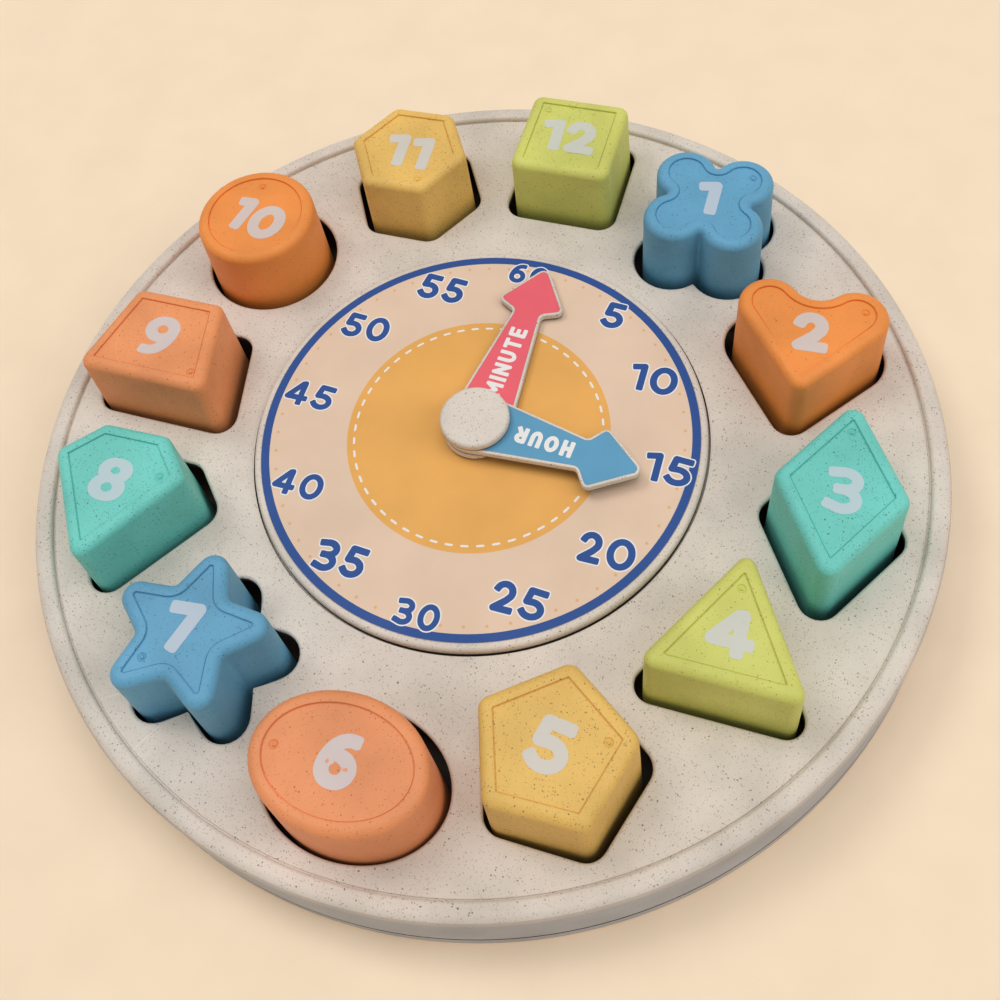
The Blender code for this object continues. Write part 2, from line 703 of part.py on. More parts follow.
def build_hand(hand, foot, clock_angle, label_colour):
    """A hand with a sunk face, bored for the stem, and the printed film that lies in it."""
    turn = -math.radians(clock_angle)
    pocket_margin = HAND_LABEL_MARGIN - FIT_CLEARANCE
    body = bmesh.new()
    loft(body, [
        (hand.outline(-HAND_EDGE_ROUND), 0),
        (hand.outline(0), HAND_EDGE_ROUND),
        (hand.outline(0), HAND_THICKNESS - HAND_EDGE_ROUND),
        (hand.outline(-HAND_EDGE_ROUND), HAND_THICKNESS),
        (hand.outline(-pocket_margin), HAND_THICKNESS),
        (hand.outline(-pocket_margin), HAND_THICKNESS - FILM_POCKET),
    ])
    item = add_object(hand.name, body, (0, 0, foot), turn, material("straw"))
    bore = bmesh.new()
    revolve(bore, column(PIVOT_HOLE_RADIUS, foot - OVERRUN, foot + HAND_THICKNESS + OVERRUN), HUB_FACETS)
    bore_guide = guide("guide_" + hand.name + "_bore", bore)
    combine(item, bore_guide, "DIFFERENCE")

    film = bmesh.new()
    loft(film, [
        (hand.outline(-HAND_LABEL_MARGIN), HAND_THICKNESS - LABEL_THICKNESS),
        (hand.outline(-HAND_LABEL_MARGIN), HAND_THICKNESS),
    ])
    label = add_object(hand.name + "_label", film, (0, 0, foot), turn, material(label_colour))
    combine(label, bore_guide, "DIFFERENCE")
    return item


def build_pivot():
    """Cap whose stem carries both hands, held under the seat by a washer and a screw."""
    cap = bmesh.new()
    pilot_top = SEAT_UNDERSIDE + PILOT_DEPTH
    profile = [(0, CAP_TOP)]
    profile += arc(CAP_RADIUS - CAP_ROUND, CAP_TOP - CAP_ROUND, CAP_ROUND, 90, 0, 3)
    profile += [
        (CAP_RADIUS, CAP_FOOT),
        (STEM_RADIUS, CAP_FOOT),
        (STEM_RADIUS, SEAT_UNDERSIDE),
        (PILOT_RADIUS, SEAT_UNDERSIDE),
        (PILOT_RADIUS, pilot_top),
        (0, pilot_top),
    ]
    revolve(cap, profile, HUB_FACETS)
    add_object("pivot_cap", cap, finish=material("straw"))

    washer = bmesh.new()
    washer_top = SEAT_UNDERSIDE - REST_GAP
    washer_foot = washer_top - WASHER_THICKNESS
    revolve(washer, [
        (PILOT_RADIUS, washer_foot),
        (WASHER_RADIUS, washer_foot),
        (WASHER_RADIUS, washer_top),
        (PILOT_RADIUS, washer_top),
    ], HUB_FACETS)
    add_object("pivot_washer", washer, finish=material("straw"))

    screw = bmesh.new()
    head_top = washer_foot - REST_GAP
    revolve(screw, screw_profile(head_top, pilot_top - REST_GAP), SMALL_FACETS)
    add_object("pivot_screw", screw, finish=material("steel", 0.35, 1.0))


def build_block(shape):
    """A drafted block with a rounded top edge, a sunk face for its number and a plate under it."""
    x, y = block_place(shape)
    place = (x, y, BLOCK_FOOT)
    name = f"block_{shape.hour:02d}_{shape.name}"
    ledge = BLOCK_DRAFT - LID_LEDGE
    lid_pocket = LID_THICKNESS + REST_GAP
    body = bmesh.new()
    rings = [
        (shape.outline(ledge), lid_pocket),
        (shape.outline(ledge), 0),
        (shape.outline(BLOCK_DRAFT), 0),
    ]
    for step in range(BLOCK_ROUND_STEPS + 1):
        angle = math.radians(90 * step / BLOCK_ROUND_STEPS)
        grow = -BLOCK_EDGE_ROUND * (1 - math.cos(angle))
        height = BLOCK_HEIGHT - BLOCK_EDGE_ROUND * (1 - math.sin(angle))
        rings.append((shape.outline(grow), height))
    rings.append((shape.outline(-BLOCK_MARGIN), BLOCK_HEIGHT))
    rings.append((shape.outline(-BLOCK_MARGIN), BLOCK_HEIGHT - BLOCK_SUNK_DEPTH))
    loft(body, rings)
    twist = math.radians(shape.twist)
    add_object(name, body, place, twist, material(shape.colour))

    lid = bmesh.new()
    loft(lid, [
        (shape.outline(ledge - FIT_CLEARANCE), 0),
        (shape.outline(ledge - FIT_CLEARANCE), LID_THICKNESS),
    ])
    add_object(f"block_{shape.hour:02d}_base_plate", lid, place, twist, material(shape.colour))


def main():
    """Build the whole sorter."""
    clear_scene()
    build_upper_shell()
    build_lower_shell()
    build_case_screws()
    build_dial()
    build_hand(MINUTE_HAND, MINUTE_FOOT, MINUTE_ANGLE, "pink")
    build_hand(HOUR_HAND, HOUR_FOOT, HOUR_ANGLE, "sky")
    build_pivot()
    for shape in SHAPES:
        build_block(shape)


main()
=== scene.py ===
"""Clock shape sorter, dressed: speckled moulded case, twelve numbered blocks, printed dial and hands.

Lengths are in millimetres up to the point where a mesh is made, and in metres from there on.
"""
from __future__ import annotations

import logging
import math
from dataclasses import dataclass
from enum import Enum
from typing import Callable

import bmesh
import bpy
from mathutils import Matrix, Vector
from mathutils.kdtree import KDTree

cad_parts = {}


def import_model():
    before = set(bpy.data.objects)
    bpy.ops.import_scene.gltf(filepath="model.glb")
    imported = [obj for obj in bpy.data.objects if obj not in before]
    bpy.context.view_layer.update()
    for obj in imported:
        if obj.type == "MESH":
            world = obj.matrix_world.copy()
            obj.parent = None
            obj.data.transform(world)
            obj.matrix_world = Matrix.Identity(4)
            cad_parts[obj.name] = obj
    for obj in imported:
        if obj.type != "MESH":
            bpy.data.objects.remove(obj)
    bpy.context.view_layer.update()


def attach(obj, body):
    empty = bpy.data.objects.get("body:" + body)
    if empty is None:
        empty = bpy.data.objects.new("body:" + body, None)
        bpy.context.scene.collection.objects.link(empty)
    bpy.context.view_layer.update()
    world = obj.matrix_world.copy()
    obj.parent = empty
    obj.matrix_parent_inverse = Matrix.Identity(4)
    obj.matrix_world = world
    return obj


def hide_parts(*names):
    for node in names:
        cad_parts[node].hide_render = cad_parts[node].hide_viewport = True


Point = tuple[float, float]
Points = list[Point]
Runs = list[Points]
Rings = list[tuple[Points, float]]
Outline = Callable[[float], Points]
Place = tuple[float, float, float]
Colour = tuple[int, int, int]
Item = bpy.types.Object
Socket = bpy.types.NodeSocket

MM = 0.001
# Gaps where pieces rest on or in each other, and the smallest round that an outline keeps
REST_GAP = 0.3
FIT_CLEARANCE = 0.3
LEAST_ROUND = 0.3
# How near a face lies to a place that it is told from
NEAR = 0.1
# How far a tool reaches past what it cuts, and a print into what it lies on
OVERRUN = 1.0
PRINT_SINK = 0.02
# The case, the ring of sockets, the size and corners of the blocks, and their play
BASE_RADIUS = 122.0
RING_RADIUS = BASE_RADIUS * 0.746
SPAN = BASE_RADIUS * 0.2787
CORNER = 3.1
PLAY = 1.2

log = logging.getLogger("clock_sorter")


# Outlines, in millimetres

def belt(circles: list[tuple[float, float, float, int]]) -> Points:
    """Draw the closed outline that lies tight round a ring of circles, anticlockwise.

    Args:
        circles: x, y, radius and steps of each; a radius below zero bends the other way.

    Returns:
        The points of the outline.
    """
    normals = []
    for index, (x, y, radius, _) in enumerate(circles):
        next_x, next_y, next_radius, _ = circles[(index + 1) % len(circles)]
        lean = (radius - next_radius) / math.hypot(next_x - x, next_y - y)
        normals.append(math.atan2(next_y - y, next_x - x) - math.acos(max(-1.0, min(1.0, lean))))
    points = []
    for index, (x, y, radius, steps) in enumerate(circles):
        start = normals[index - 1]
        sweep = (normals[index] - start) % math.tau
        if radius <= 0:
            sweep = -((start - normals[index]) % math.tau)
        for step in range(steps + 1):
            angle = start + sweep * step / steps
            points.append((x + radius * math.cos(angle), y + radius * math.sin(angle)))
    return points


def rounded(corners: Points, radius: float, grow: float, steps: int = 8) -> Points:
    """Round the corners of a convex outline and grow it evenly.

    Args:
        corners: Sharp corners, anticlockwise.
        radius: Round of each corner before growing.
        grow: Distance by which the outline grows, or shrinks below zero.
        steps: Facets in each corner.

    Returns:
        The points of the outline.
    """
    circles = []
    for index, (x, y) in enumerate(corners):
        before = corners[index - 1]
        after = corners[(index + 1) % len(corners)]
        ahead = math.atan2(after[1] - y, after[0] - x)
        opening = (math.atan2(before[1] - y, before[0] - x) - ahead) % math.tau
        bend = max(LEAST_ROUND, radius + grow)
        inset = (bend - grow) / math.sin(opening / 2)
        inward = ahead + opening / 2
        circles.append((x + inset * math.cos(inward), y + inset * math.sin(inward), bend, steps))
    return belt(circles)


def regular(count: int, reach: float, first_angle: float) -> Points:
    """Return the corners of a regular figure, anticlockwise from its first angle in degrees."""
    angles = [math.radians(first_angle) + math.tau * index / count for index in range(count)]
    return [(reach * math.cos(angle), reach * math.sin(angle)) for angle in angles]


def ellipse(half_length: float, half_width: float, facets: int = 96) -> Points:
    """Return the points of an ellipse that is longest along X."""
    return [(x * half_length, y * half_width) for x, y in regular(facets, 1.0, 0.0)]


def disc(radius: float, facets: int = 32) -> Points:
    """Return the points of a circle."""
    return ellipse(radius, radius, facets)


def bow(x: float, y: float, wide: float, tall: float, first: float, last: float, steps: int = 16) -> Points:
    """Return points along part of an ellipse, its angles in degrees."""
    angles = [math.radians(first + (last - first) * step / steps) for step in range(steps + 1)]
    return [(x + wide * math.cos(angle), y + tall * math.sin(angle)) for angle in angles]


def arc(x: float, y: float, radius: float, first: float, last: float, steps: int = 8) -> Points:
    """Return points along a round, its angles in degrees."""
    return bow(x, y, radius, radius, first, last, steps)


def top_edge(radius: float, top: float, bend: float, steps: int = 8) -> Points:
    """Return the round of an outer top edge, from above to the side."""
    return arc(radius - bend, top - bend, bend, 90, 0, steps)


def clock(radius: float, angle: float) -> Point:
    """Return the place at a distance from the axis and a clock angle in degrees."""
    return radius * math.sin(math.radians(angle)), radius * math.cos(math.radians(angle))


def moved(outline: Points, place: Point, turn: float = 0.0) -> Points:
    """Turn an outline by degrees about its origin and move it to its place."""
    cosine, sine = math.cos(math.radians(turn)), math.sin(math.radians(turn))
    return [(place[0] + x * cosine - y * sine, place[1] + x * sine + y * cosine) for x, y in outline]


# Modelling steps

def deselect() -> None:
    """Leave edit mode and let go of everything."""
    if bpy.context.object and bpy.context.object.mode != "OBJECT":
        bpy.ops.object.mode_set(mode="OBJECT")
    bpy.ops.object.select_all(action="DESELECT")


def take(item: Item) -> None:
    """Select one object alone and make it the active one.

    Args:
        item: The object.
    """
    deselect()
    item.select_set(True)
    bpy.context.view_layer.objects.active = item


def sketch(name: str, places: list[Place], filled: bool) -> Item:
    """Start a piece as a closed run of points and stay in edit mode.

    Args:
        name: The piece's name.
        places: The points, in millimetres.
        filled: Whether they carry a face.

    Returns:
        The piece.
    """
    deselect()
    bpy.ops.mesh.primitive_circle_add(vertices=len(places), radius=1.0, location=(0, 0, 0),
                                      fill_type="NGON" if filled else "NOTHING", enter_editmode=True)
    item = bpy.context.object
    item.name = name
    work = bmesh.from_edit_mesh(item.data)
    work.verts.ensure_lookup_table()
    for vertex, place in zip(work.faces[:][0].verts[:] if filled else work.verts, places):
        vertex.co = [length * MM for length in place]
    bmesh.update_edit_mesh(item.data)
    return item


def seal() -> None:
    """Turn all faces of the piece in edit mode outward and let go of it."""
    bpy.ops.mesh.select_all(action="SELECT")
    bpy.ops.mesh.normals_make_consistent(inside=False)
    deselect()


def stack(name: str, rings: Rings) -> Item:
    """Raise a closed form from a face, ring by ring.

    Args:
        name: The piece's name.
        rings: Outline and height of each ring, all with the same count of points.

    Returns:
        The closed form.
    """
    outline, height = rings[0]
    item = sketch(name, [(x, y, height) for x, y in outline], True)
    for upper, rise in rings[1:]:
        tree = KDTree(len(outline))
        for index, (x, y) in enumerate(outline):
            tree.insert((x * MM, y * MM, 0), index)
        tree.balance()
        bpy.ops.mesh.extrude_region_move(TRANSFORM_OT_translate={"value": (0, 0, (rise - height) * MM)})
        work = bmesh.from_edit_mesh(item.data)
        for vertex in [vertex for vertex in work.verts if vertex.select]:
            x, y = upper[tree.find((vertex.co.x, vertex.co.y, 0))[1]]
            vertex.co = (x * MM, y * MM, rise * MM)
        bmesh.update_edit_mesh(item.data)
        outline, height = upper, rise
    seal()
    return item


def slab(name: str, outline: Points, foot: float, top: float) -> Item:
    """Raise an upright form with one outline all the way up."""
    return stack(name, [(outline, foot), (outline, top)])


def raised(name: str, outline: Outline, levels: Points) -> Item:
    """Raise a form from one outline at several sizes and heights."""
    return stack(name, [(outline(size), height) for size, height in levels])


def turned(name: str, profile: Points, steps: int = 192) -> Item:
    """Spin a closed profile of radius and height about the upright axis.

    Args:
        name: The piece's name.
        profile: Points of radius and height, in order.
        steps: Facets round the axis.

    Returns:
        The closed round form.
    """
    item = sketch(name, [(radius, 0, height) for radius, height in profile], False)
    bpy.ops.mesh.select_all(action="SELECT")
    bpy.ops.mesh.spin(steps=steps, angle=math.tau, center=(0, 0, 0), axis=(0, 0, 1))
    bpy.ops.mesh.select_all(action="SELECT")
    bpy.ops.mesh.remove_doubles(threshold=MM / 1000)
    bpy.ops.mesh.dissolve_degenerate(threshold=MM / 10000)
    seal()
    return item


def joined(name: str, items: list[Item]) -> Item:
    """Join objects into one piece.

    Args:
        name: The name that the piece gets.
        items: The objects.

    Returns:
        The piece.
    """
    take(items[0])
    for item in items[1:]:
        item.select_set(True)
    bpy.ops.object.join()
    items[0].name = name
    return items[0]


def put(item: Item, place: Place, turn: float = 0.0) -> Item:
    """Turn a piece about its own axis, move it and apply both.

    Args:
        item: The piece, drawn about the origin.
        place: Where it goes, in millimetres.
        turn: Degrees, anticlockwise from above.

    Returns:
        The piece, with its place in its mesh.
    """
    item.rotation_euler = (0, 0, math.radians(turn))
    item.location = tuple(length * MM for length in place)
    take(item)
    bpy.ops.object.transform_apply(location=True, rotation=True, scale=True)
    deselect()
    return item


def cut(item: Item, tool: Item, operation: str = "DIFFERENCE") -> None:
    """Cut a piece with a tool body, or join them, and remove the tool.

    Args:
        item: The piece.
        tool: The tool body.
        operation: What the boolean does.
    """
    modifier = item.modifiers.new("cut", "BOOLEAN")
    modifier.operation = operation
    modifier.solver = "EXACT"
    modifier.object = tool
    take(item)
    bpy.ops.object.modifier_apply(modifier=modifier.name)
    bpy.data.objects.remove(tool, do_unlink=True)
    deselect()


def soften(item: Item, angle: float = 32.0) -> Item:
    """Shade the rounds smooth and keep the large flats flat.

    Args:
        item: The piece.
        angle: Edges sharper than this stay sharp, in degrees.

    Returns:
        The same piece.
    """
    take(item)
    bpy.ops.object.shade_smooth_by_angle(angle=math.radians(angle), keep_sharp_edges=True)
    modifier = item.modifiers.new("flats", "WEIGHTED_NORMAL")
    modifier.keep_sharp = True
    modifier.weight = 100
    bpy.ops.object.modifier_apply(modifier=modifier.name)
    deselect()
    return item


def settle(item: Item, body: str, finish: Finish, *replaces: str) -> Item:
    """Give a piece its finish, let it ride on its body and stand for its solids.

    Args:
        item: The piece.
        body: Name of the body it moves with.
        finish: What its surface is.
        replaces: Names of the solids that it stands for.

    Returns:
        The same piece.
    """
    dress(item, finish)
    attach(item, body)
    if replaces:
        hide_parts(*replaces)
    log.info("%s: %d faces on %s", item.name, len(item.data.polygons), body)
    return item


def dress(item: Item, finish: Finish) -> None:
    """Give a piece one finish all over."""
    item.data.materials.clear()
    item.data.materials.append(finish.material())


def tint(item: Item, finish: Finish, picked: Callable[[Vector], bool]) -> None:
    """Give some faces of a piece another finish.

    Args:
        item: The piece.
        finish: What those faces are.
        picked: Whether a face is one of them, told from its centre in millimetres.
    """
    item.data.materials.append(finish.material())
    for face in item.data.polygons:
        if picked(face.center / MM):
            face.material_index = len(item.data.materials) - 1


def from_axis(at: Vector) -> float:
    """Return how far a place is from the upright axis."""
    return math.hypot(at.x, at.y)


# Finishes

def linear(colour: Colour) -> tuple[float, float, float, float]:
    """Turn a colour of 0 to 255 into the linear values that a shader takes."""
    red, green, blue = [share / 12.92 if share <= 0.04045 else ((share + 0.055) / 1.055) ** 2.4
                        for share in (value / 255 for value in colour)]
    return red, green, blue, 1.0


def mixed(first: Colour, share: float, second: Colour = (0, 0, 0), second_share: float = 0.0) -> Colour:
    """Add shares of two colours, up to full white."""
    red, green, blue = [min(255, round(one * share + other * second_share)) for one, other in zip(first, second)]
    return red, green, blue


class Shader:
    """Nodes of one material or world, with the steps that several surfaces share."""

    def __init__(self, tree: bpy.types.NodeTree) -> None:
        """Hold the nodes and links of a tree."""
        self.nodes = tree.nodes
        self.links = tree.links

    def fill(self, node: bpy.types.Node, inputs: dict[str | int, object]) -> None:
        """Link or set inputs of a node.

        Args:
            node: The node.
            inputs: A socket or a fixed value for each input.
        """
        for key, given in inputs.items():
            if isinstance(given, Socket):
                self.links.new(given, node.inputs[key])
            else:
                node.inputs[key].default_value = given

    def add(self, kind: str, inputs: dict[str | int, object], operation: str = "") -> bpy.types.Node:
        """Add a node.

        Args:
            kind: Its type, without ShaderNode.
            inputs: A socket or a fixed value for each input.
            operation: What it works out, on a maths node.

        Returns:
            The node.
        """
        node = self.nodes.new("ShaderNode" + kind)
        if operation:
            node.operation = operation
        self.fill(node, inputs)
        return node

    def noise(self, place: Socket, scale: float, output: str = "Fac") -> Socket:
        """Return a noise with a scale per millimetre."""
        return self.add("TexNoise", {"Vector": place, "Scale": scale, "Detail": 3.0}).outputs[output]

    def ranged(self, value: Socket, low: float, high: float, to_low: float, to_high: float) -> Socket:
        """Map a value from one range to another and clamp it there."""
        return self.add("MapRange", {"Value": value, "From Min": low, "From Max": high,
                                     "To Min": to_low, "To Max": to_high}).outputs["Result"]

    def blend(self, share: Socket, first: object, second: object) -> Socket:
        """Mix two colours by a share.

        Args:
            share: How much of the second.
            first: A socket or linear values.
            second: A socket or linear values.

        Returns:
            The mixed colour.
        """
        node = self.nodes.new("ShaderNodeMix")
        node.data_type = "RGBA"
        self.fill(node, {0: share, 6: first, 7: second})
        return node.outputs[2]

    def specks(self, place: Socket, scale: float, bare: float, largest: float, weight: float) -> Socket:
        """Strew irregular flecks, one in some cells of a grid.

        Args:
            place: Coordinates in millimetres.
            scale: Cells per millimetre.
            bare: Cells whose chance is below this stay bare.
            largest: Radius of the largest fleck, as a share of a cell.
            weight: Strength of the darkest fleck.

        Returns:
            A mask from 0 to the weight.
        """
        cells = self.add("TexVoronoi", {"Vector": place, "Scale": scale})
        chance = self.add("SeparateColor", {"Color": cells.outputs["Color"]})
        size = self.ranged(chance.outputs[0], bare, 1.0, 0.0, largest)
        over = self.add("Math", {0: size, 1: cells.outputs["Distance"]}, "SUBTRACT").outputs[0]
        edge = self.ranged(over, 0.0, 0.1, 0.0, 1.0)
        power = self.ranged(chance.outputs[1], 0.0, 1.0, weight * 0.35, weight)
        return self.add("Math", {0: edge, 1: power}, "MULTIPLY").outputs[0]

    def rubbed(self, place: Socket, x: float, y: float, radius: float) -> Socket:
        """Mark a ragged spot where the print has rubbed off.

        Args:
            place: Coordinates in millimetres, wobbled.
            x: Place of the spot along X.
            y: Place of the spot along Y.
            radius: Its size.

        Returns:
            A mask that is strong in the spot.
        """
        flat = self.add("VectorMath", {0: place, 1: (1, 1, 0)}, "MULTIPLY").outputs[0]
        middle = (x + WOBBLE_SHIFT, y + WOBBLE_SHIFT, 0)
        away = self.add("VectorMath", {0: flat, 1: middle}, "DISTANCE").outputs["Value"]
        ragged = self.ranged(self.noise(place, 1.6), 0.25, 0.75, -0.8, 0.8)
        edge = self.add("Math", {0: ragged, 1: radius, 2: away}, "MULTIPLY_ADD").outputs[0]
        return self.ranged(edge, radius * 0.85, radius * 1.15, 0.85, 0.0)


class Fleck(Enum):
    """How thickly plant fibre is strewn through a moulding: share of bare cells, and strength."""
    NONE = (1.0, 0.0)
    SPARSE = (0.76, 0.60)
    MEDIUM = (0.60, 0.75)
    DENSE = (0.41, 0.90)


# How far flecks stray from their grid, and how far that moves them all
WOBBLE = 0.55
WOBBLE_SHIFT = 0.28
# Cells per millimetre, largest fleck, weight and darkness of each layer
FLECK_LAYERS = ((2.8, 0.45, 0.8, False), (1.5, 0.38, 0.9, True), (0.85, 0.24, 0.6, False))


@dataclass(frozen=True)
class Finish:
    """A moulded or printed surface with flecks, faint mottling and a fine grain."""
    name: str
    colour: Colour
    fleck_colour: Colour = (95, 75, 62)
    fleck: Fleck = Fleck.NONE
    roughness: float = 0.52
    mottle: float = 0.05
    grain: float = 0.04
    metallic: float = 0.0
    slot: str = ""
    worn_colour: Colour = (0, 0, 0)
    worn_spots: tuple[Place, ...] = ()

    def material(self) -> bpy.types.Material:
        """Make the material once.

        Returns:
            The material.
        """
        name = "finish_" + self.name
        if name in bpy.data.materials:
            return bpy.data.materials[name]
        made = bpy.data.materials.new(name)
        made.use_nodes = True
        shader = Shader(made.node_tree)
        metres = shader.add("TexCoord", {}).outputs["Object"]
        place = shader.add("Mapping", {"Vector": metres, "Scale": (1 / MM,) * 3}).outputs["Vector"]
        wobble = shader.noise(place, 1.9, "Color")
        strayed = shader.add("VectorMath", {0: wobble, 1: (WOBBLE,) * 3, 2: place}, "MULTIPLY_ADD").outputs[0]
        broad = shader.noise(place, 0.05)
        tone = shader.blend(shader.ranged(broad, 0.3, 0.7, 0.0, 1.0),
                            linear(self.shade(1 + self.mottle)), linear(self.shade(1 - self.mottle)))
        bare, strength = self.fleck.value
        for scale, size, weight, dark in FLECK_LAYERS if strength else ():
            mask = shader.specks(strayed, scale, bare, size, strength * weight)
            tone = shader.blend(mask, tone, linear(self.dark_fleck() if dark else self.fleck_colour))
        for spot in self.worn_spots:
            tone = shader.blend(shader.rubbed(strayed, *spot), tone, linear(self.worn_colour))
        rough = shader.ranged(broad, 0.3, 0.7, self.roughness - 0.04, self.roughness + 0.05)
        bump = shader.add("Bump", {"Strength": self.grain, "Distance": 0.2 * MM, "Height": shader.noise(place, 1.4)})
        shader.fill(shader.nodes["Principled BSDF"], {
            "Base Color": tone, "Roughness": rough, "Normal": bump.outputs["Normal"],
            "Metallic": self.metallic, "Specular IOR Level": 0.35})
        return made

    def shade(self, share: float) -> Colour:
        """Return this finish's colour made lighter or darker by a share."""
        return mixed(self.colour, share)

    def dark_fleck(self) -> Colour:
        """Return the colour of the darker, greyer flecks."""
        red, green, blue = [round(0.5 * value + 0.14 * sum(self.fleck_colour) / 3) for value in self.fleck_colour]
        return red, green, blue


STRAW = Finish("straw", (216, 207, 196), (134, 94, 76), Fleck.DENSE, slot="straw")
# Painted shade: a darker, greyer straw for the outer side band of the case, which faces away from the light; only
# its sparser flecks are the side's own texture
STRAW_SIDE_SHADE = Finish("straw_side_shade", (170, 174, 182), (120, 96, 84), Fleck.SPARSE)
# Painted half shade: a straw between the lit top and the painted side shade, for the lower part of the rim's outer
# round
STRAW_EDGE_SHADE = Finish("straw_edge_shade", (194, 187, 181), (120, 96, 84), Fleck.SPARSE)
# Painted shade: a dark brown-grey for faces inside the case and in narrow gaps, where little light reaches
INSIDE_SHADE = Finish("inside", (66, 56, 50), roughness=0.8)
# Painted shade: a dark band along the lower edges of the hands and the cap, standing in for their contact shadows
PAINTED_SHADE_BAND = Finish("seam", (112, 94, 78), roughness=0.8)
BLOCK_FINISHES = {finish.name: finish for finish in (
    Finish("blue", (98, 163, 199), (30, 52, 78), Fleck.MEDIUM, slot="blue"),
    Finish("orange", (238, 146, 70), (150, 78, 40), Fleck.SPARSE, slot="orange"),
    Finish("rust", (235, 151, 97), (150, 78, 48), Fleck.MEDIUM, slot="rust"),
    Finish("salmon", (229, 147, 97), (152, 82, 48), Fleck.MEDIUM, slot="salmon"),
    Finish("mint", (113, 208, 198), (36, 92, 90), Fleck.DENSE, slot="mint"),
    Finish("lime", (208, 211, 110), (128, 120, 52), Fleck.MEDIUM, slot="lime"),
    Finish("yellow", (229, 187, 101), (140, 96, 54), Fleck.DENSE, slot="yellow"),
)}
PEACH = Finish("peach", (229, 201, 176), roughness=0.62, mottle=0.02, slot="peach")
ORANGE_PRINT = Finish("orange_print", (233, 173, 90), roughness=0.6, mottle=0.03, slot="orange")
BLUE_PRINT = Finish("blue_print", (28, 74, 146), roughness=0.55, mottle=0.02, slot="sky")
WHITE_PRINT = Finish("white_print", (238, 236, 234), roughness=0.6, mottle=0.01)
OCHRE_PRINT = Finish("ochre_print", (224, 178, 128), roughness=0.6, mottle=0.02)
PINK_FILM = Finish("pink_film", (235, 98, 112), roughness=0.6, mottle=0.03, slot="pink")
SKY_FILM = Finish("sky_film", (91, 155, 192), roughness=0.6, mottle=0.03, slot="sky")
STEEL = Finish("steel", (188, 188, 190), roughness=0.3, mottle=0.04, metallic=1.0, slot="steel")


# The blocks' figures, their lengths in shares of the span

def polygon(corners: Points, radius: float = CORNER, steps: int = 8) -> Outline:
    """Return a figure with straight sides and round corners, to be drawn at any growth."""
    return lambda grow: rounded([(x * SPAN, y * SPAN) for x, y in corners], radius, grow, steps)


def oval(half_length: float, half_width: float) -> Outline:
    """Return an oval figure, to be drawn at any growth."""
    return lambda grow: ellipse(half_length * SPAN + grow, half_width * SPAN + grow)


def clover(grow: float) -> Points:
    """Draw four round lobes with a valley between each two.

    Args:
        grow: Distance by which the outline grows.

    Returns:
        The points of the outline.
    """
    lobe = SPAN * 0.250 + grow
    valley = max(LEAST_ROUND, SPAN * 0.025 - grow)
    place = SPAN * 0.238
    valley_place = place + math.sqrt(max(0, (lobe + valley) ** 2 - place ** 2))
    circles = []
    for quarter in range(4):
        for point, radius, steps in (((place, place), lobe, 24), ((0, valley_place), -valley, 6)):
            x, y = moved([point], (0, 0), 90 * quarter)[0]
            circles.append((x, y, radius, steps))
    return belt(circles)


def heart(grow: float) -> Points:
    """Draw two lobes with a round notch between them and a round point below.

    Args:
        grow: Distance by which the outline grows.

    Returns:
        The points of the outline.
    """
    spread = SPAN * 0.329
    rise = SPAN * 0.244
    lobe = SPAN * 0.240 + grow
    notch = max(LEAST_ROUND, SPAN * 0.220 - grow)
    notch_rise = math.sqrt(max(0, (lobe + notch) ** 2 - spread ** 2))
    return belt([(spread, rise, lobe, 24), (0, rise + notch_rise, -notch, 10), (-spread, rise, lobe, 24),
                 (0, -SPAN * 0.391, max(LEAST_ROUND, CORNER + grow), 10)])


def star(grow: float) -> Points:
    """Draw five rounded points with rounded valleys.

    Args:
        grow: Distance by which the outline grows.

    Returns:
        The points of the outline.
    """
    tip = SPAN * 0.118 + grow
    valley = max(LEAST_ROUND, SPAN * 0.059 - grow)
    circles = []
    for tip_place, valley_place in zip(regular(5, SPAN * 0.4706, 90), regular(5, SPAN * 0.4235, 126)):
        circles += [(*tip_place, tip, 10), (*valley_place, -valley, 6)]
    return belt(circles)


FIGURES: dict[str, Outline] = {
    "clover": clover,
    "heart": heart,
    "diamond": polygon([(0.481, 0), (0, 0.746), (-0.481, 0), (0, -0.746)]),
    "triangle": polygon(regular(3, 0.665, 90), 2.4, 10),
    "pentagon": polygon(regular(5, 0.577, 90)),
    "oval": oval(0.620, 0.465),
    "star": star,
    "gem": polygon([(0.564, 0.2645), (0.2705, 0.5765), (-0.2705, 0.5765), (-0.564, 0.2645), (0, -0.5765)]),
    "trapezoid": polygon([(0.3935, 0.412), (-0.3935, 0.412), (-0.578, -0.412), (0.578, -0.412)]),
    "circle": oval(0.508, 0.508),
    "hexagon": polygon(regular(6, 0.537, 0)),
    "square": polygon(regular(4, 0.864 / math.sqrt(2), 45)),
}


@dataclass(frozen=True)
class BlockShape:
    """One block and its socket, and how the block lies in it."""
    hour: int
    figure: str
    ring_share: float
    clock_angle: float
    play_shares: Point
    twist: float
    colour: str
    number_place: Point
    number_size: Point
    dimple_place: Point
    number_turn: float = 0.0
    number_slant: float = 0.0

    @property
    def name(self) -> str:
        """Name that this block's solids carry."""
        return f"block_{self.hour:02d}"

    def outline(self, grow: float) -> Points:
        """Return the block's outline at a growth."""
        return FIGURES[self.figure](grow)

    def socket_place(self) -> Point:
        """Return the centre of the socket."""
        return clock(RING_RADIUS * self.ring_share, self.clock_angle)

    def place(self) -> Point:
        """Return where the block lies."""
        x, y = self.socket_place()
        return x + self.play_shares[0] * PLAY, y + self.play_shares[1] * PLAY


